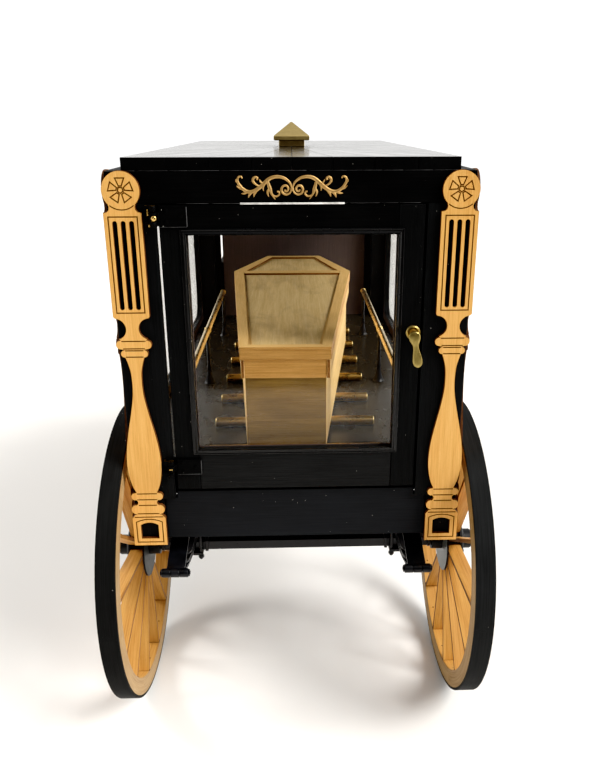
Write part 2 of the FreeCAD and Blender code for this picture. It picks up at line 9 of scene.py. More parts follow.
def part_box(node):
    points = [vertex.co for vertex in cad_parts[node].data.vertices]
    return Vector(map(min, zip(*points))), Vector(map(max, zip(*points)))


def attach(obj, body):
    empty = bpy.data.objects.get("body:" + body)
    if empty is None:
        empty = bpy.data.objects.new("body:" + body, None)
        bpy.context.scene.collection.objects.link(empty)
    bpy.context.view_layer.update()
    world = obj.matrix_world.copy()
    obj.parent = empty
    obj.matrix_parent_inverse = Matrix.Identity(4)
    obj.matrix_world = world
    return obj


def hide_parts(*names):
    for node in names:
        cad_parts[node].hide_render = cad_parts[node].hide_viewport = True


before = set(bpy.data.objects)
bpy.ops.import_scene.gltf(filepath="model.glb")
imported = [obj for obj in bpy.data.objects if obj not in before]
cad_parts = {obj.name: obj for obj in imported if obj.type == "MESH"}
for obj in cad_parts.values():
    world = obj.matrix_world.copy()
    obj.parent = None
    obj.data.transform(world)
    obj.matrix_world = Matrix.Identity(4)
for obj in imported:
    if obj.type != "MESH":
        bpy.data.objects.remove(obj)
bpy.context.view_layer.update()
scene = bpy.context.scene
rng = random.Random(41)

MM = 0.001


def nb(name):
    """A CAD node's box in mm: x0, x1, y0, y1, z0, z1, with y measured from the body's rear face."""
    lo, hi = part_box(name)
    return (lo.x / MM, hi.x / MM, lo.y / MM - Y0, hi.y / MM - Y0, lo.z / MM, hi.z / MM)


Y0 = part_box("roof_slab")[0].y / MM          # the body's rear face
ROOF = nb("roof_slab")
TOP = ROOF[5]
BODY_L = ROOF[3]
DECK = nb("deck")
WALL = nb("side_walls")
HEAD = nb("header_boards")
DOOR = nb("door_frame")
PANE = nb("door_pane")
MID = BODY_L / 2.0


# ================================================================ node materials
def lin(r, g, b):
    def f(c):
        c /= 255.0
        return c / 12.92 if c <= 0.04045 else ((c + 0.055) / 1.055) ** 2.4
    return (f(r), f(g), f(b), 1.0)


class Mat:
    def __init__(self, name, **sockets):
        self.m = bpy.data.materials.new(name)
        self.m.use_nodes = True
        self.nt = self.m.node_tree
        self.nt.nodes.clear()
        self.out = self.nt.nodes.new("ShaderNodeOutputMaterial")
        self.b = self.nt.nodes.new("ShaderNodeBsdfPrincipled")
        self.link(self.b.outputs[0], self.out.inputs[0])
        for k, v in sockets.items():
            self.b.inputs[k.replace("_", " ")].default_value = v

    def link(self, a, b):
        self.nt.links.new(a, b)

    def node(self, kind, **kw):
        n = self.nt.nodes.new(kind)
        for k, v in kw.items():
            setattr(n, k, v)
        return n

    def grain(self):
        """Coordinates in mm along, across and through each board."""
        return self.node("ShaderNodeAttribute", attribute_name="grain").outputs["Vector"]

    def tint(self):
        return self.node("ShaderNodeAttribute", attribute_name="tint").outputs["Fac"]

    def stretch(self, vec, sx, sy, sz):
        n = self.node("ShaderNodeMapping")
        n.inputs["Scale"].default_value = (sx, sy, sz)
        self.link(vec, n.inputs["Vector"])
        return n.outputs[0]

    def noise(self, vec, scale=1.0, detail=3.0, rough=0.55, distort=0.0):
        n = self.node("ShaderNodeTexNoise")
        n.inputs["Scale"].default_value = scale
        n.inputs["Detail"].default_value = detail
        n.inputs["Roughness"].default_value = rough
        n.inputs["Distortion"].default_value = distort
        self.link(vec, n.inputs["Vector"])
        return n.outputs["Fac"]

    def voronoi(self, vec, scale, out="Distance"):
        n = self.node("ShaderNodeTexVoronoi")
        n.inputs["Scale"].default_value = scale
        self.link(vec, n.inputs["Vector"])
        return n.outputs[out]

    def ramp(self, fac, *stops):
        n = self.node("ShaderNodeValToRGB")
        e = n.color_ramp.elements
        while len(e) > len(stops):
            e.remove(e[-1])
        while len(e) < len(stops):
            e.new(0.5)
        for el, (p, c) in zip(e, stops):
            el.position = p
            el.color = c if isinstance(c, tuple) else (c, c, c, 1.0)
        self.link(fac, n.inputs[0])
        return n.outputs[0]

    def mix(self, fac, a, b, blend="MIX"):
        n = self.node("ShaderNodeMix", data_type="RGBA", blend_type=blend)
        for sock, v in ((n.inputs[0], fac), (n.inputs[6], a), (n.inputs[7], b)):
            if isinstance(v, (int, float, tuple)):
                sock.default_value = v
            else:
                self.link(v, sock)
        return n.outputs[2]

    def span(self, val, a, b, c, d):
        n = self.node("ShaderNodeMapRange")
        n.inputs[1].default_value, n.inputs[2].default_value = a, b
        n.inputs[3].default_value, n.inputs[4].default_value = c, d
        self.link(val, n.inputs[0])
        return n.outputs[0]

    def math(self, op, a, b=0.0):
        n = self.node("ShaderNodeMath", operation=op)
        for sock, v in ((n.inputs[0], a), (n.inputs[1], b)):
            if isinstance(v, (int, float)):
                sock.default_value = v
            else:
                self.link(v, sock)
        return n.outputs[0]

    def bump(self, height, strength, dist, under=None):
        n = self.node("ShaderNodeBump")
        n.inputs["Strength"].default_value = strength
        n.inputs["Distance"].default_value = dist
        self.link(height, n.inputs["Height"])
        if under is not None:
            self.link(under, n.inputs["Normal"])
        return n.outputs[0]

    def colour(self, s):
        self.link(s, self.b.inputs["Base Color"])

    def rough(self, s):
        self.link(s, self.b.inputs["Roughness"])

    def normal(self, s):
        self.link(s, self.b.inputs["Normal"])


def black_paint(name, base, r0, r1, grain=0.5, spec=0.35, dust=1.0, coat=0.0, coarse=1.0, uneven=1.0):
    """Painted wood: grain telling through the paint, uneven sheen, a little dust."""
    m = Mat(name, Specular_IOR_Level=spec, Coat_Weight=coat, Coat_Roughness=0.12)
    g = m.grain()
    fibre = m.noise(m.stretch(g, 0.06, 2.6 * coarse, 2.6 * coarse), 1.0, 4.0, 0.62, 0.25)
    pores = m.noise(m.stretch(g, 0.35, 6.0, 6.0), 1.0, 2.0, 0.5)
    patch = m.noise(m.stretch(g, 0.05, 0.09, 0.09), 1.0, 3.0, 0.6)
    # dust: a few pale specks, one in about every fifth cell
    d = m.voronoi(g, 0.62)
    who = m.node("ShaderNodeSeparateColor")
    m.link(m.voronoi(g, 0.62, "Color"), who.inputs[0])
    near = m.math("LESS_THAN", d, m.math("MULTIPLY", who.outputs[1], 0.105))
    speck = m.math("MULTIPLY", near, m.math("GREATER_THAN", who.outputs[0], 1.0 - 0.26 * dust))
    lo = tuple(c * (1.0 - 0.28 * uneven) for c in base[:3]) + (1.0,)
    hi = tuple(c * (1.0 + 0.45 * uneven) for c in base[:3]) + (1.0,)
    col = m.ramp(m.math("ADD", m.math("MULTIPLY", fibre, 0.6), m.math("MULTIPLY", patch, 0.4)), (0.35, lo), (0.68, hi))
    m.colour(m.mix(m.math("MULTIPLY", speck, 0.7), col, lin(168, 166, 160)))
    m.rough(m.math("ADD", m.span(patch, 0.3, 0.7, r0, r1), m.math("MULTIPLY", speck, 0.25)))
    n1 = m.bump(fibre, grain, 0.00022)
    n2 = m.bump(pores, grain * 0.35, 0.00008, n1)
    m.normal(m.bump(speck, 0.5, 0.00006, n2))
    return m.m


def wood(name, light, mid, dark, r0=0.45, r1=0.6, scale=1.0, spec=0.35, ring=0.35, smudge=0.0, smudge_col=None):
    """Bare or thinly oiled wood: fibres, short dark pores, slow growth bands, per-board tint."""
    m = Mat(name, Specular_IOR_Level=spec)
    g = m.grain()
    fibre = m.noise(m.stretch(g, 0.05 * scale, 1.9 * scale, 1.9 * scale), 1.0, 5.0, 0.66, 0.35)
    band = m.noise(m.stretch(g, 0.018 * scale, 0.34 * scale, 0.34 * scale), 1.0, 3.0, 0.5, 0.8)
    fleck = m.noise(m.stretch(g, 0.55 * scale, 6.5 * scale, 6.5 * scale), 1.0, 2.0, 0.45)
    body = m.math("ADD", m.math("MULTIPLY", fibre, 0.62), m.math("MULTIPLY", band, 0.38))
    col = m.ramp(body, (0.33, dark), (0.5, mid), (0.66, light))
    pore = m.ramp(fleck, (0.60, 0.0), (0.72, 1.0))
    col = m.mix(m.math("MULTIPLY", pore, ring), col, tuple(c * 0.72 for c in dark[:3]) + (1.0,))
    t = m.span(m.tint(), 0.0, 1.0, 0.90, 1.06)
    grey = m.node("ShaderNodeCombineColor")
    for i in range(3):
        m.link(t, grey.inputs[i])
    col = m.mix(1.0, col, grey.outputs[0], "MULTIPLY")
    if smudge:
        sm = m.noise(m.stretch(g, 0.028, 0.075, 0.075), 1.0, 4.0, 0.6, 0.6)
        col = m.mix(m.math("MULTIPLY", m.ramp(sm, (0.48, 0.0), (0.66, 1.0)), smudge), col, smudge_col)
    m.colour(col)
    m.rough(m.span(fibre, 0.3, 0.7, r1, r0))
    n1 = m.bump(fibre, 0.35, 0.00012)
    m.normal(m.bump(fleck, 0.25, 0.00006, n1))
    return m.m


def metal(name, base, dark, r0, r1, brush=(0.08, 3.0, 3.0), strength=0.25, spec=0.5, tarnish=0.5):
    m = Mat(name, Metallic=1.0, Specular_IOR_Level=spec)
    g = m.grain()
    line = m.noise(m.stretch(g, *brush), 1.0, 4.0, 0.6)
    blot = m.noise(m.stretch(g, 0.22, 0.3, 0.3), 1.0, 4.0, 0.62, 0.4)
    col = m.mix(m.math("MULTIPLY", m.ramp(blot, (0.42, 0.0), (0.70, 1.0)), tarnish), base, dark)
    m.colour(m.mix(0.22, col, m.ramp(line, (0.35, dark), (0.65, base))))
    m.rough(m.math("ADD", m.span(blot, 0.3, 0.7, r0, r1), m.span(line, 0.3, 0.7, -0.04, 0.05)))
    m.normal(m.bump(line, strength, 0.00005))
    return m.m


def iron(name, base, r0, r1, bump=0.35, spec=0.3):
    """Satin black paint over cast or forged metal."""
    m = Mat(name, Specular_IOR_Level=spec, Metallic=0.0)
    g = m.grain()
    peel = m.noise(g, 2.4, 3.0, 0.55)
    blot = m.noise(g, 0.22, 4.0, 0.6, 0.4)
    rub = m.noise(g, 0.9, 5.0, 0.72)
    col = m.ramp(blot, (0.35, tuple(c * 0.7 for c in base[:3]) + (1.0,)), (0.66, tuple(c * 1.6 for c in base[:3]) + (1.0,)))
    m.colour(m.mix(m.ramp(rub, (0.70, 0.0), (0.84, 0.12)), col, lin(84, 84, 88)))
    m.rough(m.span(blot, 0.3, 0.7, r0, r1))
    m.normal(m.bump(peel, bump, 0.00008))
    return m.m


LACQUER = black_paint("black_lacquer_wood", (0.0054, 0.0055, 0.0057, 1), 0.42, 0.58, grain=0.35, spec=0.055, coarse=0.8)
SATIN = black_paint("black_satin_wood", (0.0064, 0.0070, 0.0076, 1), 0.44, 0.62, grain=0.75, spec=0.11, coarse=0.9)
JOINERY = black_paint("black_door_joinery", (0.0054, 0.0058, 0.0062, 1), 0.46, 0.62, grain=1.0, spec=0.10, coarse=0.75)
BEADM = black_paint("black_bead_gloss", (0.0052, 0.0054, 0.0058, 1), 0.20, 0.32, grain=0.2, spec=0.30, dust=1.4)
PANEL = black_paint("black_flat_panel", (0.0104, 0.0114, 0.0134, 1), 0.52, 0.64, grain=0.15, spec=0.13, dust=1.2, coarse=1.3)
GLOSS = black_paint("black_gloss_top", (0.010, 0.010, 0.0095, 1), 0.12, 0.20, grain=0.06, spec=0.5, dust=1.2, coat=0.5)
INNER = black_paint("dark_cabin_lining", (0.106, 0.082, 0.078, 1), 0.42, 0.58, grain=0.05, spec=0.14, dust=0.5, uneven=0.4)
DECKM = black_paint("dark_deck_gloss", (0.025, 0.0205, 0.0135, 1), 0.25, 0.29, grain=0.01, spec=0.24, dust=0.5, uneven=0.35)

PLY_FACE = wood("birch_ply_face", lin(239, 186, 109), lin(230, 173, 94), lin(211, 149, 72), scale=1.5, ring=0.25, spec=0.25)
PLY_EDGE = wood("birch_ply_cut_edge", lin(120, 76, 39), lin(92, 55, 27), lin(58, 34, 17), 0.6, 0.75, scale=1.0, ring=0.5, spec=0.2)
BURN = wood("engraved_line", lin(142, 88, 38), lin(116, 68, 28), lin(80, 45, 18), 0.7, 0.85, scale=1.5, ring=0.6, spec=0.12)
BEECH = wood("wheel_beech", lin(210, 160, 88), lin(194, 141, 72), lin(166, 111, 50), scale=1.1, ring=0.3, spec=0.25)
FELLOE = wood("felloe_side_ply", lin(180, 150, 106), lin(164, 132, 90), lin(140, 108, 68), 0.5, 0.62, scale=1.1, ring=0.35, spec=0.25)
# one brown cut-edge wood in two copies: painted lighter for the left wheel's spoke edges (painted light), painted
# darker for the right wheel's (painted shade)
SPOKE_EDGE_LIT = wood("spoke_cut_edge_painted_light", lin(160, 114, 61), lin(138, 94, 47), lin(106, 68, 31), 0.6, 0.75, scale=1.2, ring=0.3, spec=0.2)
SPOKE_EDGE_SHADED = wood("spoke_cut_edge_painted_shade", lin(128, 86, 44), lin(104, 66, 32), lin(72, 44, 20), 0.6, 0.75, scale=1.2, ring=0.3, spec=0.2)
FELLOE_R = wood("felloe_side_ply_shaded", lin(160, 130, 87), lin(145, 114, 71), lin(121, 92, 54), 0.5, 0.62, scale=1.1, ring=0.35, spec=0.25)
SCORCH = wood("scorched_joint", lin(120, 76, 40), lin(92, 56, 28), lin(60, 34, 18), 0.7, 0.85, ring=0.5, spec=0.15)
COFFIN = wood("coffin_pale_wood", lin(240, 198, 129), lin(229, 184, 113), lin(208, 160, 92), 0.48, 0.62, scale=1.3, ring=0.25,
              smudge=0.22, smudge_col=lin(170, 130, 78))
FIELD = wood("coffin_lid_field", lin(236, 206, 148), lin(226, 193, 132), lin(208, 172, 110), 0.42, 0.58, scale=1.2, ring=0.2,
             smudge=0.45, smudge_col=lin(150, 118, 78))

# side boards painted lighter than the lid wood for the window light on the coffin's flanks (painted light); end board
# painted far darker, its own darker fibre plus painted shade
CASE = wood("coffin_side_boards_painted_light", lin(248, 211, 144), lin(242, 201, 131), lin(226, 182, 110), 0.48, 0.62, scale=1.3, ring=0.25,
            smudge=0.15, smudge_col=lin(176, 136, 84))
END = wood("coffin_end_board_painted_shade", lin(152, 117, 56), lin(134, 101, 44), lin(110, 79, 33), 0.5, 0.65, scale=1.1, ring=0.4, spec=0.3,
           smudge=0.4, smudge_col=lin(86, 64, 33))
# cut-edge wood for the lid board's sides, also laid over the whole skirt foot board as painted shade
EDGE_AND_SHADE = wood("coffin_board_edge_and_painted_shade", lin(214, 162, 92), lin(196, 144, 76), lin(166, 116, 56), 0.5, 0.65, scale=1.2, ring=0.5, spec=0.25)
# scorched cut-edge wood, dark enough to carry the painted shade in the lid's recesses too
CUT_AND_SHADE = wood("laser_cut_edge_and_painted_shade", lin(176, 122, 64), lin(140, 90, 44), lin(98, 60, 28), 0.6, 0.75, scale=1.0, ring=0.4, spec=0.2)

BRASS = metal("drawn_brass", lin(226, 188, 116), lin(154, 118, 60), 0.24, 0.38, tarnish=0.35)
RAILM = metal("pale_rail_brass", lin(236, 214, 168), lin(184, 158, 108), 0.22, 0.34, tarnish=0.3)
OLD_BRASS = metal("handled_brass", lin(176, 156, 96), lin(112, 94, 50), 0.26, 0.4, brush=(0.6, 0.9, 0.9), strength=0.2, tarnish=0.55)
BRASS_END = metal("turned_brass_end", lin(236, 208, 142), lin(190, 154, 88), 0.26, 0.4, brush=(2.0, 2.0, 2.0), tarnish=0.2)
ANTIQUE = metal("antique_gold_paint", lin(196, 174, 118), lin(150, 128, 78), 0.42, 0.56, brush=(0.3, 1.2, 1.2), strength=0.3, tarnish=0.35)
GILT = metal("gilt_leaf", lin(214, 176, 116), lin(160, 122, 70), 0.48, 0.62, brush=(1.2, 1.6, 1.6), strength=0.35, tarnish=0.4)
IRON = iron("black_iron_paint", (0.0062, 0.0066, 0.0084, 1), 0.26, 0.42, bump=0.8, spec=0.30)
HUBM = iron("hub_black_paint", (0.010, 0.010, 0.011, 1), 0.38, 0.52, bump=0.2, spec=0.2)
# one hub disc paint in two copies: darker on the left disc as painted shade, lighter grey on the right disc as a
# painted reflection
DISC_SHADED = iron("hub_disc_painted_shade", (0.030, 0.033, 0.032, 1), 0.40, 0.55, bump=0.1, spec=0.3)
DISC_SHEEN = iron("hub_disc_painted_reflection", (0.074, 0.078, 0.072, 1), 0.34, 0.5, bump=0.1, spec=0.5)
TYRE_R = black_paint("tyre_black_band_lit", (0.0158, 0.0165, 0.0170, 1), 0.60, 0.74, grain=0.08, spec=0.06, dust=0.45)
TYRE = black_paint("tyre_black_band", (0.0118, 0.0120, 0.0120, 1), 0.60, 0.74, grain=0.08, spec=0.05, dust=0.45)


def glass_mat(name, haze, tint):
    """Thin clear sheet: a mirror share by Fresnel over a clear sheet, with faint smears and dust."""
    m = bpy.data.materials.new(name)
    m.use_nodes = True
    nt = m.node_tree
    nt.nodes.clear()
    out = nt.nodes.new("ShaderNodeOutputMaterial")
    tr = nt.nodes.new("ShaderNodeBsdfTransparent")
    tr.inputs[0].default_value = tint
    gl = nt.nodes.new("ShaderNodeBsdfGlossy")
    gl.inputs["Color"].default_value = (0.96, 0.96, 0.96, 1)
    mx = nt.nodes.new("ShaderNodeMixShader")
    at = nt.nodes.new("ShaderNodeAttribute")
    at.attribute_name = "grain"
    mp = nt.nodes.new("ShaderNodeMapping")
    mp.inputs["Scale"].default_value = (0.05, 0.09, 0.09)
    nt.links.new(at.outputs["Vector"], mp.inputs["Vector"])
    sm = nt.nodes.new("ShaderNodeTexNoise")
    sm.inputs["Scale"].default_value = 1.0
    sm.inputs["Detail"].default_value = 5.0
    sm.inputs["Roughness"].default_value = 0.65
    nt.links.new(mp.outputs[0], sm.inputs["Vector"])
    vo = nt.nodes.new("ShaderNodeTexVoronoi")
    vo.inputs["Scale"].default_value = 0.34
    nt.links.new(at.outputs["Vector"], vo.inputs["Vector"])
    dot = nt.nodes.new("ShaderNodeMapRange")
    dot.inputs[1].default_value, dot.inputs[2].default_value = 0.03, 0.05
    dot.inputs[3].default_value, dot.inputs[4].default_value = 0.25, 0.0
    nt.links.new(vo.outputs["Distance"], dot.inputs[0])
    hz = nt.nodes.new("ShaderNodeMapRange")
    hz.inputs[1].default_value, hz.inputs[2].default_value = 0.35, 0.75
    hz.inputs[3].default_value, hz.inputs[4].default_value = haze * 0.35, haze
    nt.links.new(sm.outputs["Fac"], hz.inputs[0])
    # Schlick's rule on the facing angle, which reads the same from both faces of a thin sheet
    lw = nt.nodes.new("ShaderNodeLayerWeight")
    lw.inputs["Blend"].default_value = 0.5
    pw = nt.nodes.new("ShaderNodeMath")
    pw.operation = "POWER"
    pw.inputs[1].default_value = 5.0
    nt.links.new(lw.outputs["Facing"], pw.inputs[0])
    fr = nt.nodes.new("ShaderNodeMath")
    fr.operation = "MULTIPLY_ADD"
    fr.inputs[1].default_value, fr.inputs[2].default_value = 0.55, 0.012
    nt.links.new(pw.outputs[0], fr.inputs[0])
    a1 = nt.nodes.new("ShaderNodeMath")
    a1.operation = "ADD"
    nt.links.new(fr.outputs[0], a1.inputs[0])
    nt.links.new(hz.outputs[0], a1.inputs[1])
    a2 = nt.nodes.new("ShaderNodeMath")
    a2.operation = "ADD"
    a2.use_clamp = True
    nt.links.new(a1.outputs[0], a2.inputs[0])
    nt.links.new(dot.outputs[0], a2.inputs[1])
    rg = nt.nodes.new("ShaderNodeMapRange")
    rg.inputs[1].default_value, rg.inputs[2].default_value = 0.3, 0.7
    rg.inputs[3].default_value, rg.inputs[4].default_value = 0.03, 0.09
    nt.links.new(sm.outputs["Fac"], rg.inputs[0])
    nt.links.new(rg.outputs[0], gl.inputs["Roughness"])
    nt.links.new(a2.outputs[0], mx.inputs[0])
    nt.links.new(tr.outputs[0], mx.inputs[1])
    nt.links.new(gl.outputs[0], mx.inputs[2])
    nt.links.new(mx.outputs[0], out.inputs[0])
    return m


GLASS = glass_mat("clear_sheet", 0.006, (0.97, 0.97, 0.965, 1))


def leather(name):
    m = Mat(name, Specular_IOR_Level=0.45, Coat_Weight=0.12, Coat_Roughness=0.3)
    g = m.grain()
    cell = m.voronoi(g, 2.3)
    crease = m.noise(g, 0.5, 5.0, 0.65, 0.6)
    col = m.ramp(m.math("ADD", m.math("MULTIPLY", crease, 0.7), m.math("MULTIPLY", cell, 0.4)),
                 (0.3, (0.007, 0.0065, 0.0065, 1)), (0.8, (0.024, 0.022, 0.021, 1)))
    m.colour(col)
    m.rough(m.span(crease, 0.3, 0.7, 0.34, 0.52))
    n1 = m.bump(cell, 0.5, 0.00012)
    m.normal(m.bump(crease, 0.5, 0.00025, n1))
    return m.m


HIDE = leather("black_hide")
# pale grey for painted highlights on the hinge leaves' edges and, together with dust, along the body joints
HIGHLIGHT_GREY = iron("grey_painted_highlight_and_dust", (0.050, 0.051, 0.052, 1), 0.35, 0.5, bump=0.2, spec=0.3)
# near-white strip material: a painted glint along the door head
GLINT_PALE = iron("pale_strip_painted_glint", (0.80, 0.79, 0.76, 1), 0.4, 0.55, bump=0.1, spec=0.4)
# the door's lower rail: strong grain as on the real rail, with a base about twice as light as the stiles, painted light
# standing in for the floor's bounce
RAIL_LOW_LIT = black_paint("black_door_lower_rail_painted_light", (0.0102, 0.0106, 0.0110, 1), 0.44, 0.60, grain=1.3, spec=0.13, coarse=0.7)


# ================================================================ mesh tools (mm, y from the rear face)
def to3(plane, u, v, w):
    if plane == "xz":
        return (u, w, v)
    if plane == "yz":
        return (w, u, v)
    return (u, v, w)


def bevel(bm, w, seg=2, ang=30.0):
    if w <= 0:
        return bm
    edges = [e for e in bm.edges if len(e.link_faces) == 2 and e.calc_face_angle(0.0) > math.radians(ang)]
    bmesh.ops.bevel(bm, geom=edges, offset=w, offset_type="OFFSET", segments=seg, profile=0.5, affect="EDGES",
                    clamp_overlap=True)
    return bm


def box(x0, x1, y0, y1, z0, z1, w=0.18, seg=2):
    bm = bmesh.new()
    bmesh.ops.create_cube(bm, size=1.0)
    for v in bm.verts:
        v.co = Vector((x0 + (v.co.x + 0.5) * (x1 - x0), y0 + (v.co.y + 0.5) * (y1 - y0), z0 + (v.co.z + 0.5) * (z1 - z0)))
    return bevel(bm, w, seg)


def prism(pts, plane, a0, a1, w=0.18, seg=2, ang=30.0):
    bm = bmesh.new()
    a = [bm.verts.new(to3(plane, p[0], p[1], a0)) for p in pts]
    b = [bm.verts.new(to3(plane, p[0], p[1], a1)) for p in pts]
    bm.faces.new(a[::-1])
    bm.faces.new(b)
    n = len(pts)
    for i in range(n):
        j = (i + 1) % n
        bm.faces.new((a[i], a[j], b[j], b[i]))
    bmesh.ops.recalc_face_normals(bm, faces=bm.faces)
    return bevel(bm, w, seg, ang)


def lathe(profile, axis, o, seg=32, closed=False):
    """profile: (radius, position along the axis)"""
    bm = bmesh.new()
    rings = []
    for r, h in profile:
        ring = []
        for k in range(1 if r < 1e-6 else seg):
            a = 2 * math.pi * k / seg
            c, s = r * math.cos(a), r * math.sin(a)
            p = {"x": (h, c, s), "y": (s, h, c), "z": (c, s, h)}[axis]
            ring.append(bm.verts.new((p[0] + o[0], p[1] + o[1], p[2] + o[2])))
        rings.append(ring)
    pairs = list(zip(rings, rings[1:])) + ([(rings[-1], rings[0])] if closed else [])
    for a, b in pairs:
        for k in range(seg):
            q = [a[k % len(a)], a[(k + 1) % len(a)], b[(k + 1) % len(b)], b[k % len(b)]]
            q = [v for i, v in enumerate(q) if v not in q[:i]]
            if len(q) >= 3:
                bm.faces.new(q)
    if not closed:
        for ring in (rings[0], rings[-1]):
            if len(ring) > 2:
                bm.faces.new(ring)
    bmesh.ops.recalc_face_normals(bm, faces=bm.faces)
    return bm


def sweep(path, section, closed=False, up=Vector((0, 0, 1))):
    """section(i, n) gives the (side, height) points of the outline at each path point."""
    bm = bmesh.new()
    n = len(path)
    path = [Vector(p) for p in path]
    rings = []
    side = None
    for i, p in enumerate(path):
        a = path[(i - 1) % n] if (closed or i) else path[i]
        b = path[(i + 1) % n] if (closed or i < n - 1) else path[i]
        t = (b - a).normalized()
        if side is None:
            side = t.cross(up)
            side = side.normalized() if side.length > 1e-6 else Vector((1, 0, 0))
        side = (side - t * side.dot(t)).normalized()
        h = side.cross(t).normalized()
        rings.append([bm.verts.new(p + side * u + h * v) for u, v in section(i, n)])
    m = len(rings[0])
    for i in range(n if closed else n - 1):
        a, b = rings[i], rings[(i + 1) % n]
        for k in range(m):
            bm.faces.new((a[k], a[(k + 1) % m], b[(k + 1) % m], b[k]))
    if not closed:
        bm.faces.new(rings[0])
        bm.faces.new(rings[-1])
    bmesh.ops.recalc_face_normals(bm, faces=bm.faces)
    return bm


def circle(r, k=10):
    return [(r * math.cos(2 * math.pi * i / k), r * math.sin(2 * math.pi * i / k)) for i in range(k)]


def plate(loops, t):
    """Flat sheet from nested outlines, in its own x, y plane, centred on z = 0 and t thick."""
    cu = bpy.data.curves.new("tmp", "CURVE")
    cu.dimensions = "2D"
    cu.fill_mode = "BOTH"
    cu.extrude = t / 2.0
    for lp in loops:
        sp = cu.splines.new("POLY")
        sp.points.add(len(lp) - 1)
        for pt, (x, y) in zip(sp.points, lp):
            pt.co = (x, y, 0.0, 1.0)
        sp.use_cyclic_u = True
    ob = bpy.data.objects.new("tmp", cu)
    me = bpy.data.meshes.new_from_object(ob)
    bm = bmesh.new()
    bm.from_mesh(me)
    bpy.data.objects.remove(ob)
    bpy.data.curves.remove(cu)
    bpy.data.meshes.remove(me)
    bmesh.ops.remove_doubles(bm, verts=bm.verts, dist=1e-4)
    bmesh.ops.recalc_face_normals(bm, faces=bm.faces)
    return bm


def node_mesh(name, w=0.2, seg=2, ang=28.0):
    """A softened copy of a CAD node's mesh, in mm from the rear face."""
    bm = bmesh.new()
    bm.from_mesh(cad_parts[name].data)
    for v in bm.verts:
        v.co = Vector((v.co.x / MM, v.co.y / MM - Y0, v.co.z / MM))
    bmesh.ops.remove_doubles(bm, verts=bm.verts, dist=2e-3)
    bmesh.ops.dissolve_degenerate(bm, edges=bm.edges, dist=1e-3)
    bmesh.ops.dissolve_limit(bm, angle_limit=math.radians(1.0), verts=bm.verts, edges=bm.edges)
    return bevel(bm, w, seg, ang)


def joined(*parts):
    out = bmesh.new()
    for b in parts:
        me = bpy.data.meshes.new("tmp")
        b.to_mesh(me)
        out.from_mesh(me)
        bpy.data.meshes.remove(me)
        b.free()
    return out


def moved(bm, mat):
    bmesh.ops.transform(bm, matrix=mat, verts=bm.verts)
    if mat.determinant() < 0:
        bmesh.ops.reverse_faces(bm, faces=bm.faces)
    return bm


ORDER = {"x": (0, 1, 2), "y": (1, 0, 2), "z": (2, 0, 1)}


class Piece:
    def __init__(self, name, body, *mats):
        self.name, self.body, self.mats = name, body, mats
        self.v, self.f, self.m, self.g, self.t = [], [], [], [], []

    def add(self, bm, mat=0, along="x", tint=None, matf=None, gfun=None, off=None):
        base = len(self.v)
        tint = rng.random() if tint is None else tint
        off = Vector((rng.uniform(0, 300), rng.uniform(0, 300), rng.uniform(0, 300))) if off is None else off
        bm.verts.index_update()
        bm.normal_update()
        o = ORDER[along]
        for v in bm.verts:
            c = v.co
            self.v.append((c.x * MM, (c.y + Y0) * MM, c.z * MM))
            g = gfun(c) if gfun else Vector((c[o[0]], c[o[1]], c[o[2]]))
            self.g.extend(g + off)
            self.t.append(tint)
        for f in bm.faces:
            self.f.append([base + v.index for v in f.verts])
            self.m.append(matf(f) if matf else mat)
        bm.free()
        return self

    def done(self, slot=None, replaces=(), angle=50.0, weighted=True):
        me = bpy.data.meshes.new(self.name)
        me.from_pydata(self.v, [], self.f)
        me.update()
        me.attributes.new("grain", "FLOAT_VECTOR", "POINT").data.foreach_set("vector", self.g)
        me.attributes.new("tint", "FLOAT", "POINT").data.foreach_set("value", self.t)
        for mt in self.mats:
            me.materials.append(mt)
        me.polygons.foreach_set("material_index", self.m)
        me.polygons.foreach_set("use_smooth", [True] * len(self.f))
        me.set_sharp_from_angle(angle=math.radians(angle))
        ob = bpy.data.objects.new(self.name, me)
        scene.collection.objects.link(ob)
        if weighted:
            wn = ob.modifiers.new("wn", "WEIGHTED_NORMAL")
            wn.keep_sharp = True
            wn.weight = 60
        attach(ob, self.body)
        if replaces:
            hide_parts(*replaces)
        return ob


def arc(cx, cy, r, a0, a1, n):
    return [(cx + r * math.cos(math.radians(a0 + (a1 - a0) * i / n)), cy + r * math.sin(math.radians(a0 + (a1 - a0) * i / n)))
            for i in range(n + 1)]


def spline(pts, n=6):
    """Catmull-Rom through the points."""
    out = []
    k = len(pts)
    for i in range(k - 1):
        p = [Vector(pts[max(i - 1, 0)]), Vector(pts[i]), Vector(pts[i + 1]), Vector(pts[min(i + 2, k - 1)])]
        for j in range(n):
            t = j / n
            out.append(0.5 * ((2 * p[1]) + (p[2] - p[0]) * t + (2 * p[0] - 5 * p[1] + 4 * p[2] - p[3]) * t * t
                              + (3 * p[1] - p[0] - 3 * p[2] + p[3]) * t ** 3))
    out.append(Vector(pts[-1]))
    return out


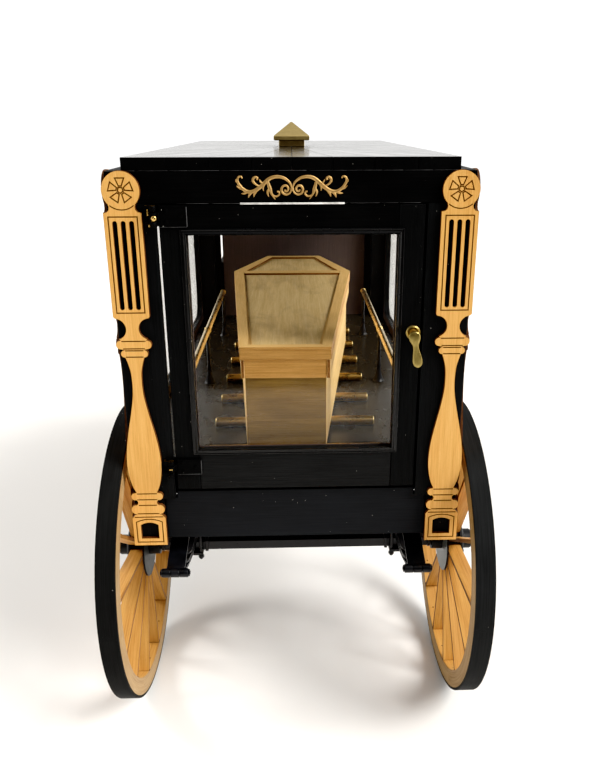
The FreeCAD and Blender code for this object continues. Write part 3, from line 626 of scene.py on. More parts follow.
def screw(piece, x, y, z, r, face, mat=0, slot_deg=30.0, proud=0.18):
    """Slotted screw head lying on a face; face is the outward axis, such as '-y' or '+x'."""
    s = -1.0 if face[0] == "-" else 1.0
    ax = face[1]
    prof = [(r, 0.0), (r, s * proud * 0.5), (r * 0.86, s * proud), (0.0, s * proud * 1.15)]
    piece.add(lathe([(0.0, -s * 0.05)] + prof, ax, (x, y, z), 20), mat)
    b = box(-r * 0.82, r * 0.82, -r * 0.12, r * 0.12, -0.02, 0.05, 0.0)
    rot = Matrix.Rotation(math.radians(slot_deg), 4, "Z")
    turn = {"y": Matrix.Rotation(math.radians(90.0), 4, "X"), "x": Matrix.Rotation(math.radians(90.0), 4, "Y"),
            "z": Matrix.Identity(4)}[ax]
    shift = Vector((x, y, z)) + {"x": Vector((s, 0, 0)), "y": Vector((0, s, 0)), "z": Vector((0, 0, s))}[ax] * (proud * 1.12)
    return moved(b, Matrix.Translation(shift) @ turn @ rot)


# ================================================================ roof
def build_roof():
    p = Piece("roof_planks", "carriage", GLOSS, LACQUER)
    hx = ROOF[1]
    rear = [-hx, -40.7, -26.9, -13.1, 0.0, 13.3, 26.9, 41.2, hx]
    side = [BODY_L * i / 14.0 for i in range(15)]
    ring = [(x, 0.0) for x in rear] + [(hx, y) for y in side[1:]] + [(x, BODY_L) for x in reversed(rear[:-1])] \
        + [(-hx, y) for y in reversed(side[1:-1])]
    core = 5.2
    top_mat = lambda f: 0 if f.normal.z > 0.5 else 1
    n = len(ring)
    corners = {(round(sx * hx, 3), yy) for sx in (-1, 1) for yy in (0.0, BODY_L)}
    i = 0
    while i < n:
        a, b = ring[i], ring[(i + 1) % n]
        outer = [a, b]
        i += 1
        inner = []
        for q in reversed(outer):
            d = math.hypot(q[0], q[1] - MID)
            inner.append((q[0] / d * core, MID + (q[1] - MID) / d * core))
        pts = outer + inner
        mid = Vector(((a[0] + b[0]) / 2, (a[1] + b[1]) / 2 - MID))
        ang = math.atan2(mid.y, mid.x)

        def g(c, ca=math.cos(ang), sa=math.sin(ang)):
            return Vector((c.x * ca + (c.y - MID) * sa, -c.x * sa + (c.y - MID) * ca, c.z))
        q = []
        for k in range(4):                                       # a hair's gap along both radial joints
            c = Vector(pts[k])
            other = Vector(pts[(3, 2, 1, 0)[k]])
            q.append(c + (Vector(pts[(1, 0, 3, 2)[k]]) - c).normalized() * 0.045)
        p.add(prism([(v.x, v.y) for v in q], "xy", ROOF[4], ROOF[5], 0.2, 2, 40.0), matf=top_mat, gfun=g)
    p.add(lathe([(0, ROOF[4]), (core - 0.1, ROOF[4]), (core - 0.1, ROOF[5] - 0.2), (0, ROOF[5] - 0.2)], "z", (0, MID, 0), 32))
    p.done("black_lacquer", ["roof_slab"])

    f = Piece("roof_finial_pyramid", "carriage", ANTIQUE)
    f.add(box(-5.9, 5.9, MID - 5.9, MID + 5.9, TOP, TOP + 2.8, 0.25), along="x")
    s = 8.2
    bm = bmesh.new()
    levels = [(s - 0.45, 2.7), (s, 3.0), (s, 4.5), (s - 0.25, 4.95)]
    rings = [[bm.verts.new((dx * r, MID + dy * r, TOP + z)) for dx, dy in ((-1, -1), (1, -1), (1, 1), (-1, 1))] for r, z in levels]
    tip = [bm.verts.new((dx * 0.35, MID + dy * 0.35, TOP + 10.75)) for dx, dy in ((-1, -1), (1, -1), (1, 1), (-1, 1))]
    rings.append(tip)
    for a, b in zip(rings, rings[1:]):
        for k in range(4):
            bm.faces.new((a[k], a[(k + 1) % 4], b[(k + 1) % 4], b[k]))
    bm.faces.new(rings[0][::-1])
    bm.faces.new(tip)
    bmesh.ops.recalc_face_normals(bm, faces=bm.faces)
    f.add(bevel(bm, 0.14, 2, 20.0), along="x")
    f.done("gilt", ["roof_finial"])


# ================================================================ gilt scroll on the header
def build_scroll():
    p = Piece("header_scroll", "carriage", GILT)
    zc = TOP
    # name, points (x, z from the roof top), width at start, widest, at end
    strokes = [
        ("arch", [(0.15, -10.2), (0.35, -9.0), (1.1, -7.7), (2.9, -6.5), (5.2, -6.15), (7.3, -6.75), (9.0, -8.1), (10.6, -9.5),
                  (12.4, -10.6), (14.3, -10.9), (16.1, -10.0), (17.3, -8.6), (17.8, -7.3), (17.4, -6.25), (16.6, -6.1), (16.2, -6.7)],
         0.35, 1.25, 0.4),
        ("volute", [(0.2, -10.0), (0.7, -11.2), (1.9, -11.8), (3.1, -11.3), (3.5, -10.1), (2.9, -9.1), (1.9, -9.0), (1.3, -9.8),
                    (1.6, -10.7), (2.3, -10.7), (2.4, -10.2)], 0.45, 0.75, 0.55),
        ("curl", [(10.3, -9.2), (11.8, -8.6), (12.7, -7.6), (12.6, -6.7), (11.9, -6.25), (11.3, -6.6), (11.5, -7.2)], 0.3, 0.85, 0.5),
        ("drop", [(7.9, -7.2), (7.7, -8.6), (7.2, -10.2), (6.7, -11.7), (5.6, -13.35)], 0.4, 1.15, 0.12),
        ("drop_curl", [(7.0, -10.9), (6.3, -12.0), (5.2, -12.35), (4.3, -11.8), (4.35, -10.95), (5.0, -10.85)], 0.25, 0.6, 0.5),
        ("leaf_a", [(7.4, -9.6), (8.1, -11.0), (7.7, -12.5)], 0.3, 0.75, 0.1),
        ("leaf_b", [(11.0, -9.9), (12.3, -11.4), (12.6, -12.6)], 0.3, 0.8, 0.1),
        ("leaf_c", [(12.8, -10.7), (14.0, -11.8), (14.4, -12.8)], 0.3, 0.8, 0.1),
        ("leaf_d", [(14.4, -10.9), (15.7, -11.4), (16.7, -11.4)], 0.25, 0.7, 0.1),
        ("leaf_e", [(16.1, -10.0), (17.1, -9.8), (18.1, -9.0)], 0.25, 0.6, 0.1),
        ("leaf_f", [(8.6, -7.8), (9.5, -9.3), (9.4, -10.7)], 0.3, 0.75, 0.1),
        ("leaf_g", [(17.6, -8.0), (18.2, -7.6), (18.3, -6.9)], 0.2, 0.5, 0.08),
        ("leaf_h", [(9.5, -8.4), (10.4, -7.6), (10.6, -6.9)], 0.25, 0.55, 0.1),
    ]
    for side in (-1, 1):
        for _, pts, w0, w1, w2 in strokes:
            line = spline([(side * x, z + zc) for x, z in pts], 7)
            bm = bmesh.new()
            rows = []
            n = len(line)
            for i, q in enumerate(line):
                a, b = line[max(i - 1, 0)], line[min(i + 1, n - 1)]
                t = (b - a).normalized()
                nx, nz = -t.y, t.x
                s = i / (n - 1.0)
                w = (w0 + (w1 - w0) * math.sin(min(s / 0.45, 1.0) * math.pi / 2)) if s < 0.45 else (w1 + (w2 - w1) * ((s - 0.45) / 0.55) ** 1.3)
                w *= 0.5
                cols = []
                for k, (o, h) in enumerate(((-1.0, 0.0), (-0.93, -0.09), (-0.35, -0.19), (0.35, -0.19), (0.93, -0.09), (1.0, 0.0))):
                    cols.append(bm.verts.new((q.x + nx * w * o, 0.02 + h, q.y + nz * w * o)))
                rows.append(cols)
            for a, b in zip(rows, rows[1:]):
                for k in range(6):
                    bm.faces.new((a[k], a[(k + 1) % 6], b[(k + 1) % 6], b[k]))
            bm.faces.new(rows[0])
            bm.faces.new(rows[-1][::-1])
            bmesh.ops.recalc_face_normals(bm, faces=bm.faces)
            p.add(bm, along="x")
    # the little knot where both halves meet
    p.add(lathe([(0, -0.3), (0.4, -0.24), (0.62, -0.1), (0.62, 0.02), (0, 0.02)], "y", (0, 0, zc - 10.1), 20))
    p.done("gilt", angle=60.0)


# ================================================================ balusters
SLOT_X = (-2.75, 0.0, 2.75)
VASE = [(3.35, -66.85), (2.75, -68.6), (2.05, -71.5), (1.8, -75.0), (1.85, -79.0), (2.3, -83.0), (3.35, -88.5), (4.75, -95.0),
        (5.8, -101.0), (6.3, -107.0), (6.05, -112.0), (5.1, -116.5), (3.9, -119.4)]


def capsule(x0, z0, x1, z1, w):
    """closed thin slot from one point to another"""
    d = Vector((x1 - x0, z1 - z0))
    a = math.degrees(math.atan2(d.y, d.x))
    return arc(x1, z1, w / 2, a - 90, a + 90, 6) + arc(x0, z0, w / 2, a + 90, a + 270, 6)


def offset_loop(pts, d):
    """convex or gently curved closed loop, moved outwards by d"""
    n = len(pts)
    area = sum(pts[i][0] * pts[(i + 1) % n][1] - pts[(i + 1) % n][0] * pts[i][1] for i in range(n))
    s = 1.0 if area > 0 else -1.0
    out = []
    for i in range(n):
        p, q, r = Vector(pts[i - 1]), Vector(pts[i]), Vector(pts[(i + 1) % n])
        a, b = (q - p).normalized(), (r - q).normalized()
        na, nbv = Vector((a.y, -a.x)) * s, Vector((b.y, -b.x)) * s
        m = (na + nbv)
        m = m / max(m.length_squared, 0.3) * 2.0
        out.append((q.x + m.x * d, q.y + m.y * d))
    return out


def baluster_outline():
    h = arc(0, -10.25, 6.25, 90, -43.5, 26)
    h += [(4.3, -15.4), (4.4, -16.3), (5.0, -17.0), (6.3, -17.3), (6.3, -52.2), (6.0, -52.6)]
    h += arc(5.95, -56.5, 3.7, 95, 255, 18)
    h += arc(4.55, -62.15, 1.65, 90, -90, 12)
    h += arc(3.35, -65.4, 1.4, 90, -90, 10)
    h += [(q.x, q.y) for q in spline(VASE[1:], 4)]
    h += arc(4.35, -121.1, 1.6, 90, -90, 12)
    h += arc(4.7, -123.6, 1.12, 110, 250, 8)
    h += arc(4.2, -126.55, 2.05, 90, -90, 14)
    h += [(5.1, -128.72), (5.4, -129.15), (6.3, -130.2), (6.3, -142.0)]
    return h + [(-x, z) for x, z in reversed(h[1:])]


def arched(hw, z0, r, top, n=12):
    a = math.degrees(math.acos(hw / r))
    return [(-hw, z0), (hw, z0)] + arc(0, top - r, r, a, 180 - a, n)


def build_balusters():
    outline = baluster_outline()
    holes = [capsule(x, -20.7, x, -49.0, 1.45) for x in SLOT_X] + [arched(3.27, -138.9, 5.85, -132.2)]
    lw = 0.42
    grooves = []
    for loop in ([(-4.75, -50.8), (4.75, -50.8), (4.75, -18.6), (-4.75, -18.6)], arched(4.85, -140.5, 10.5, -130.7)):
        grooves += [offset_loop(loop, lw / 2), offset_loop(loop, -lw / 2)]
    c = Vector((0.0, -10.1))
    for k in range(5):
        a = math.radians(90 + 72 * k)
        e, f = Vector((math.cos(a), math.sin(a))), Vector((-math.sin(a), math.cos(a)))
        q = [c + e * 1.31 + f * 0.46, c + e * 3.8 + f * 1.45, c + e * 3.8 - f * 1.45, c + e * 1.31 - f * 0.46]
        q = [(v.x, v.y) for v in q]
        grooves += [offset_loop(q, lw / 2), offset_loop(q, -lw / 2)]
    pent = [(c.x + 1.0 * math.cos(math.radians(54 + 72 * k)), c.y + 1.0 * math.sin(math.radians(54 + 72 * k))) for k in range(5)]
    grooves += [offset_loop(pent, lw / 2), offset_loop(pent, -lw / 2)]
    grooves.append(arc(0, -10.25, 6.3, -130, -50, 20) + arc(0, -10.25, 5.92, -50, -130, 20))
    for z, hw in ((-60.85, 4.0), (-63.55, 3.6), (-64.25, 3.0), (-66.55, 2.9), (-119.95, 3.6), (-122.4, 3.6), (-124.75, 3.2),
                  (-128.3, 3.9), (-129.75, 5.2)):
        grooves.append(capsule(-hw, z, hw, z, lw))
    veneer_t, t = 0.22, 1.3
    places = [(0, -55.6, 0.0), (0, 55.6, 0.0), (90, WALL[1] - 0.9, 6.6), (-90, -(WALL[1] - 0.9), 6.6),
              (90, WALL[1] - 0.9, BODY_L - 6.6), (-90, -(WALL[1] - 0.9), BODY_L - 6.6), (180, -55.6, BODY_L), (180, 55.6, BODY_L)]
    p = Piece("engraved_balusters", "carriage", PLY_FACE, PLY_EDGE, BURN)
    for deg, x, y in places:
        off = Vector((rng.uniform(0, 300), rng.uniform(0, 300), rng.uniform(0, 300)))
        place = Matrix.Translation((x, y, TOP)) @ Matrix.Rotation(math.radians(deg), 4, "Z")
        inv = place.inverted()

        def g(co, inv=inv):
            q = inv @ co
            return Vector((q.z, q.x, q.y))
        tint = 1.0 if len(p.v) == 0 else rng.uniform(0.35, 0.8)
        # the sheet lies in x, z with its front at -y
        stand = Matrix(((1, 0, 0, 0), (0, 0, -1, 0), (0, 1, 0, 0), (0, 0, 0, 1)))
        front = (place.to_3x3() @ Vector((0, -1, 0)))
        bm = moved(plate([offset_loop(outline, -0.11)] + [offset_loop(h, 0.09) for h in holes] + grooves, veneer_t), place @ Matrix.Translation((0, -(t - veneer_t / 2), 0)) @ stand)
        p.add(bm, matf=lambda f: 0 if abs(f.normal.dot(front)) > 0.7 else 1, gfun=g, off=off, tint=tint)
        bm = moved(plate([outline] + holes, t - veneer_t), place @ Matrix.Translation((0, -(t - veneer_t) / 2, 0)) @ stand)
        p.add(bm, matf=lambda f: 2 if f.normal.dot(front) > 0.7 else (0 if f.normal.dot(front) < -0.7 else 1), gfun=g, off=off, tint=tint)
    p.done("ply", ["balusters"], weighted=False, angle=35.0)


# ================================================================ black body work
def build_body():
    hb = Piece("header_planks", "carriage", LACQUER)
    for y0, y1 in ((0.0, 4.0), (BODY_L - 4.0, BODY_L)):
        hb.add(box(HEAD[0], HEAD[1], y0, y1, HEAD[4], HEAD[5] - 0.08, 0.2), along="x")
    hb.done("black_lacquer", ["header_boards"])

    posts = nb("corner_posts")
    st = Piece("corner_post_boards", "carriage", SATIN)
    for s in (-1, 1):
        for front in (False, True):
            def yy(a, b):
                return (BODY_L - b, BODY_L - a) if front else (a, b)

            def xx(a, b):
                return (a, b) if s > 0 else (-b, -a)
            inner = 46.2 if front else 45.0
            if front:
                st.add(box(*xx(inner, posts[1]), *yy(0.0, 4.0), 101.0, HEAD[4] - 0.06, 0.22), along="z")
            else:
                q = [(inner, 0.0), (posts[1], 0.0), (posts[1], 4.0), (inner + 0.5, 4.0)]
                st.add(prism([(s * a, b) for a, b in q], "xy", 101.0, HEAD[4] - 0.06, 0.16), along="z")
            st.add(box(*xx(49.6, posts[1] - 2.45), *yy(4.02, 12.0), 82.0, HEAD[4] - 0.06, 0.15), along="z")
            st.add(box(*xx(49.6, posts[1]), *yy(0.02, 4.0), 82.0, 100.96, 0.15), along="z")
            st.add(box(*xx(posts[1] - 2.4, posts[1]), *yy(4.02, 12.9), 101.0, HEAD[4] - 0.06, 0.2), along="z")
            st.add(box(*xx(posts[1] - 2.4, posts[1]), *yy(4.02, 12.0), 82.0, 100.96, 0.15), along="z")
    st.done("black_satin", ["corner_posts"])

    ep = nb("end_panels")
    pn = Piece("end_boards", "carriage", PANEL, INNER, SATIN)
    pn.add(prism([(-49.5, ep[4]), (49.5, ep[4]), (49.5, 100.9), (44.9, 100.9), (44.9, 103.7), (-44.9, 103.7), (-44.9, 100.9),
                  (-49.5, 100.9)], "xz", 1.5, 4.4, 0.22), along="x")
    inner = lambda f: 1 if f.normal.y < -0.5 else 2
    pn.add(box(-44.8, 45.95, BODY_L - 4.0, BODY_L - 0.6, 101.0, HEAD[4] - 0.15, 0.15), matf=inner, along="z")
    pn.add(box(-49.5, 49.5, BODY_L - 4.0, BODY_L - 1.5, ep[4], 100.85, 0.15), matf=inner, along="x")
    # raised fields on the outside of the front end, over the boot
    for z0, z1 in ((156.5, 202.0),):
        for x0, x1 in ((-41.5, -1.5), (1.5, 41.5)):
            pn.add(box(x0, x1, BODY_L - 0.65, BODY_L - 0.05, z0, z1, 0.25), mat=2, along="z")
    pn.done("black_satin", ["end_panels"])

    sw = Piece("side_wall_panels", "carriage", SATIN, INNER)
    pane = nb("side_panes")
    wy0, wy1, wz0, wz1 = pane[2] - 0.1, pane[3] + 0.1, pane[4] - 0.1, pane[5] + 0.1
    zb, zt, h0 = WALL[4], WALL[5], HEAD[4] + 0.1
    x_out = posts[1]

    def rounded(g, n=10):
        r = 10.0 + g
        a, b, c, d = wy0 - g, wy1 + g, wz0 - g, wz1 + g
        return (arc(b - r, d - r, r, 0, 90, n) + arc(a + r, d - r, r, 90, 180, n) + arc(a + r, c + r, r, 180, 270, n)
                + arc(b - r, c + r, r, 270, 360, n))
    board = [(12.1, zb), (BODY_L - 12.1, zb), (BODY_L - 12.1, 100.9), (BODY_L - 13.0, 100.9), (BODY_L - 13.0, h0), (BODY_L - 4.1, h0),
             (BODY_L - 4.1, zt), (4.1, zt), (4.1, h0), (13.0, h0), (13.0, 100.9), (12.1, 100.9)]
    turn = Matrix(((0, 0, 1, 0), (1, 0, 0, 0), (0, 1, 0, 0), (0, 0, 0, 1)))          # sheet's x, y, z to y, z, x
    for s in (-1, 1):
        flip = Matrix.Diagonal((s, 1, 1, 1))
        bm = moved(plate([board, rounded(0.0)], 2.4), flip @ Matrix.Translation((x_out - 1.2, 0, 0)) @ turn)
        sw.add(bm, along="y", matf=lambda f, s=s: 1 if f.normal.x * s < -0.5 else 0)
        # raised moulding round the window
        line = [(x_out, y, z) for y, z in rounded(0.6, 12)]
        line = [q for i, q in enumerate(line) if (Vector(q) - Vector(line[i - 1])).length > 0.01]
        sec = [(-0.6, -0.05), (-0.6, 0.55), (-0.42, 0.82), (-0.1, 0.9), (0.2, 0.84), (0.5, 0.5), (0.6, 0.2), (0.6, -0.05)]
        sw.add(moved(sweep(line, lambda i, n: sec, closed=True, up=Vector((1, 0, 0))), flip), along="y")
        # sill board under the window, with a shallow raised field below it
        sw.add(box(*sorted((s * (x_out - 0.05), s * (x_out + 0.5))), 16.0, BODY_L - 16.0, 86.5, 112.0, 0.2), along="y")
        sw.add(box(*sorted((s * (x_out + 0.4), s * (x_out + 0.85))), 19.5, BODY_L - 19.5, 90.0, 108.5, 0.2), along="y")
    sw.done("black_satin", ["side_walls"], weighted=False, angle=35.0)

    rr = nb("roof_rails")
    rp_ = Piece("roof_bearing_rails", "carriage", SATIN)
    for s in (-1, 1):
        rp_.add(box(*sorted((s * 51.6, s * rr[1])), rr[2], rr[3], rr[4], rr[5], 0.25), along="y")
    rp_.done("black_satin", ["roof_rails"])

    g = Piece("side_window_panes", "carriage", GLASS)
    g.add(node_mesh("side_panes", 0.0), along="y")
    g.done("clear_pane", ["side_panes"], weighted=False, angle=30)

    dk = Piece("deck_board", "carriage", DECKM)
    d = DECK
    notch = 12.1
    pts = []
    for sx, sy in ((-1, -1), (1, -1), (1, 1), (-1, 1)):
        x_out, x_in = sx * d[1], sx * 49.5
        y_out = d[2] if sy < 0 else d[3]
        y_in = notch if sy < 0 else BODY_L - notch
        pair = [(x_out, y_in), (x_in, y_in), (x_in, y_out)]
        pts += pair if sx * sy > 0 else pair[::-1]
    dk.add(prism(pts, "xy", d[4], d[5], 0.12), along="y")
    dk.done("black_lacquer", ["deck"])

    uf = nb("underfloor")
    u = Piece("underfloor_boards", "carriage", SATIN, IRON)
    n = 6
    w = (uf[1] - uf[0]) / n
    for i in range(n):
        u.add(box(uf[0] + i * w + 0.06, uf[0] + (i + 1) * w - 0.06, uf[2], uf[3], uf[4] + 0.9, uf[5], 0.2), along="y")
    for y in (24.0, 84.0, 148.0, 208.0):
        u.add(box(uf[0] + 1.0, uf[1] - 1.0, y - 3.0, y + 3.0, uf[4], uf[4] + 0.95, 0.2), along="x")
        for i in range(n):
            cut = screw(u, uf[0] + (i + 0.5) * w, y, uf[4], 0.8, "-z", 1, 20 + 37 * i)
            u.add(cut, 1)
    u.done("black_satin", ["underfloor"])


# ================================================================ cabin fittings
def build_cabin():
    rl = nb("rollers")
    p = Piece("brass_rollers", "carriage", BRASS, BRASS_END)
    r, zc, hx = 2.0, DECK[5] + 2.0, rl[1]
    for i in range(7):
        y = 8.6 + 28.3 * i
        prof = [(0, -hx), (1.2, -hx), (1.55, -hx + 0.05), (r, -hx + 0.45), (r, hx - 0.45), (1.55, hx - 0.05), (1.2, hx), (0, hx)]
        p.add(lathe(prof, "x", (0, y, zc), 28), along="x",
              matf=lambda f: 1 if abs(f.normal.x) > 0.35 else 0)
    p.done("brass", ["rollers"])

    rail = nb("side_rails")
    rx, rz = rail[1] - 1.6, rail[5] - 1.6
    p = Piece("brass_side_rails", "carriage", RAILM, BRASS_END)
    for s in (-1, 1):
        for y0, y1 in ((8.0, 92.6), (93.4, 180.0)):
            ends = [(0, y0), (1.0, y0), (1.35, y0 + 0.1), (1.6, y0 + 0.4), (1.6, y0 + 0.9), (1.42, y0 + 1.0), (1.42, y1 - 1.0),
                    (1.6, y1 - 0.9), (1.6, y1 - 0.4), (1.35, y1 - 0.1), (1.0, y1), (0, y1)]
            p.add(lathe(ends, "y", (s * rx, 0, rz), 28), along="y", matf=lambda f: 1 if abs(f.normal.y) > 0.35 else 0)
    p.done("brass", ["side_rails"])

    p = Piece("rail_posts", "carriage", IRON, BRASS_END)
    z0, z1 = DECK[5], rz - 1.62
    for s in (-1, 1):
        for y in (10.0, 93.0, 178.0):
            prof = [(0, z0), (2.75, z0), (2.8, z0 + 0.3), (2.3, z0 + 0.8), (2.05, z0 + 1.6), (1.5, z0 + 3.4), (1.05, z0 + 6.0),
                    (0.9, z0 + 7.4), (1.2, z0 + 7.9), (1.2, z0 + 8.3), (0.85, z0 + 8.9), (0.82, z1 - 3.2), (0.95, z1 - 2.9),
                    (1.25, z1 - 2.5), (1.25, z1 - 2.1), (0.95, z1 - 1.6), (0.95, z1 - 0.2), (0.6, z1), (0, z1)]
            p.add(lathe(prof, "z", (s * rx, y, 0), 24), along="z")
    p.done("iron_black", ["rail_legs"])


def build_coffin():
    foot, wide, head = (8.0, 15.0), (151.5, 29.6), (199.5, 14.2)
    turn = Matrix.Translation((-3.2, 0, 0)) @ Matrix.Translation((0, 8.0, 0)) @ Matrix.Rotation(math.radians(-1.05), 4, "Z") \
        @ Matrix.Translation((0, -8.0, 0))

    def hexa(g):
        return [(-(foot[1] + g), foot[0] - g), (foot[1] + g, foot[0] - g), (wide[1] + g * 1.1, wide[0] + g * 0.2),
                (head[1] + g * 0.9, head[0] + g), (-(head[1] + g * 0.9), head[0] + g), (-(wide[1] + g * 1.1), wide[0] + g * 0.2)]

    def boards(piece, grow, thick, z0, z1, w, gap=0.05, mat=0, butt=False, matf=None):
        """six boards standing round the hexagon, mitred, with hair gaps"""
        o, i = hexa(grow), hexa(grow - thick)
        for k in range(6):
            a, b, c, d = Vector(o[k]), Vector(o[(k + 1) % 6]), Vector(i[(k + 1) % 6]), Vector(i[k])
            t = (b - a).normalized() * gap
            q = [a + t, b - t, c - t, d + t]
            if butt and k in (0, 3):      # end boards stand between the side boards, a little behind their ends
                n = Vector((0, 0.28 if k == 0 else -0.28))
                sx = 1.0 if k == 0 else -1.0
                q = [Vector((d.x - sx * 0.0 + sx * 0.1, a.y)) + n, Vector((c.x - sx * 0.1, b.y)) + n,
                     Vector((c.x - sx * 0.1, c.y)), Vector((d.x + sx * 0.1, d.y))]
            if butt and k in (1, 5):
                # side boards run through to the foot
                lo = 0 if k == 1 else 1
                e = [a, b, c, d]
                if k == 1:
                    e = [a, b - t, c - t, Vector((d.x, a.y))]
                else:
                    e = [a + t, b, Vector((c.x, b.y)), d + t]
                q = e
            if butt and k in (2, 4):
                if k == 2:
                    q = [a + t, b, Vector((c.x, b.y)), d + t]
                else:
                    q = [a, b - t, c - t, Vector((d.x, a.y))]
            ang = math.atan2((b - a).y, (b - a).x)

            def g(co, ca=math.cos(ang), sa=math.sin(ang)):
                return Vector((co.x * ca + co.y * sa, co.z, -co.x * sa + co.y * ca))
            bm = prism([(v.x, v.y) for v in q], "xy", z0, z1, w, 2, 25.0)
            piece.add(moved(bm, turn), mat, gfun=g, matf=matf(k) if (matf and butt) else matf)

    b = Piece("coffin_case", "carriage", CASE, END)
    z0 = DECK[5] + 4.0
    # foot and head faces take the dark end-board wood (painted shade), the rest the painted-light side-board wood
    ends = lambda f: 1 if (abs(f.normal.y) > 0.9) else 0
    boards(b, 0.0, 2.2, z0, 146.15, 0.18, matf=ends)
    b.add(moved(prism(hexa(-2.25), "xy", z0 + 0.05, z0 + 2.4, 0.1), turn), along="y")
    b.done("coffin_wood", ["coffin_box"])

    l = Piece("coffin_lid_boards", "carriage", COFFIN, FIELD, CUT_AND_SHADE, EDGE_AND_SHADE)
    cx = turn @ Vector((0, 100.0, 0))
    spine = (turn.to_3x3() @ Vector((0, 1, 0)))

    def scorch_and_shade_in(f):
        """the strips' inner edges are scorched by the cutter, and painted darker still as the shade round the recessed
        field
        """
        if abs(f.normal.z) > 0.5:
            return 0
        c = f.calc_center_median() - cx
        c = c - spine * c.dot(spine) * (0.0 if abs(c.dot(spine)) > 40 else 1.0)
        return 2 if f.normal.dot(c) < 0 else 3
    # the side boards' ends show as scorched end grain beside the foot and head boards
    # the skirt's foot board (k 0) is all in the darker edge wood: painted shade
    boards(l, 1.25, 1.15, 146.2, 153.30, 0.12, butt=True,
           matf=lambda k: (lambda f: 2 if (k in (1, 2, 4, 5) and abs(f.normal.y) > 0.93 and abs(f.normal.z) < 0.3) else (3 if k == 0 else 0)))
    boards(l, 1.7, 4.6, 153.44, 157.35, 0.2, matf=lambda f: 3 if abs(f.normal.z) < 0.4 else 0)
    l.add(moved(prism(hexa(-2.85), "xy", 151.0, 157.2, 0.1), turn), 1, along="y", tint=0.4)
    # raised border strips, mitred, and the cross strip at the shoulders
    inner = [(-13.3, 9.6), (13.3, 9.6), (26.0, 149.9), (12.9, 196.4), (-12.9, 196.4), (-26.0, 149.9)]
    o = hexa(1.7)
    for k in range(6):
        a, c1 = Vector(o[k]), Vector(o[(k + 1) % 6])
        d, c2 = Vector(inner[k]), Vector(inner[(k + 1) % 6])
        t = (c1 - a).normalized() * 0.04
        ang = math.atan2((c1 - a).y, (c1 - a).x)

        def g(co, ca=math.cos(ang), sa=math.sin(ang)):
            return Vector((co.x * ca + co.y * sa, -co.x * sa + co.y * ca, co.z))
        q = [a + t, c1 - t, c2 - t, d + t]
        l.add(moved(prism([(v.x, v.y) for v in q], "xy", 157.37, 158.3, 0.1, 2, 25.0), turn), gfun=g, matf=scorch_and_shade_in)
    # the cross strip's sides take the dark cut-edge wood, which also paints the shade along it
    l.add(moved(prism([(-25.65, 146.5), (25.65, 146.5), (25.95, 149.9), (25.1, 153.6), (-25.1, 153.6), (-25.95, 149.9)], "xy",
                      157.22, 158.24, 0.1, 2, 25.0), turn), along="x", matf=lambda f: 0 if abs(f.normal.z) > 0.5 else 2)
    l.done("coffin_wood", ["coffin_lid"])


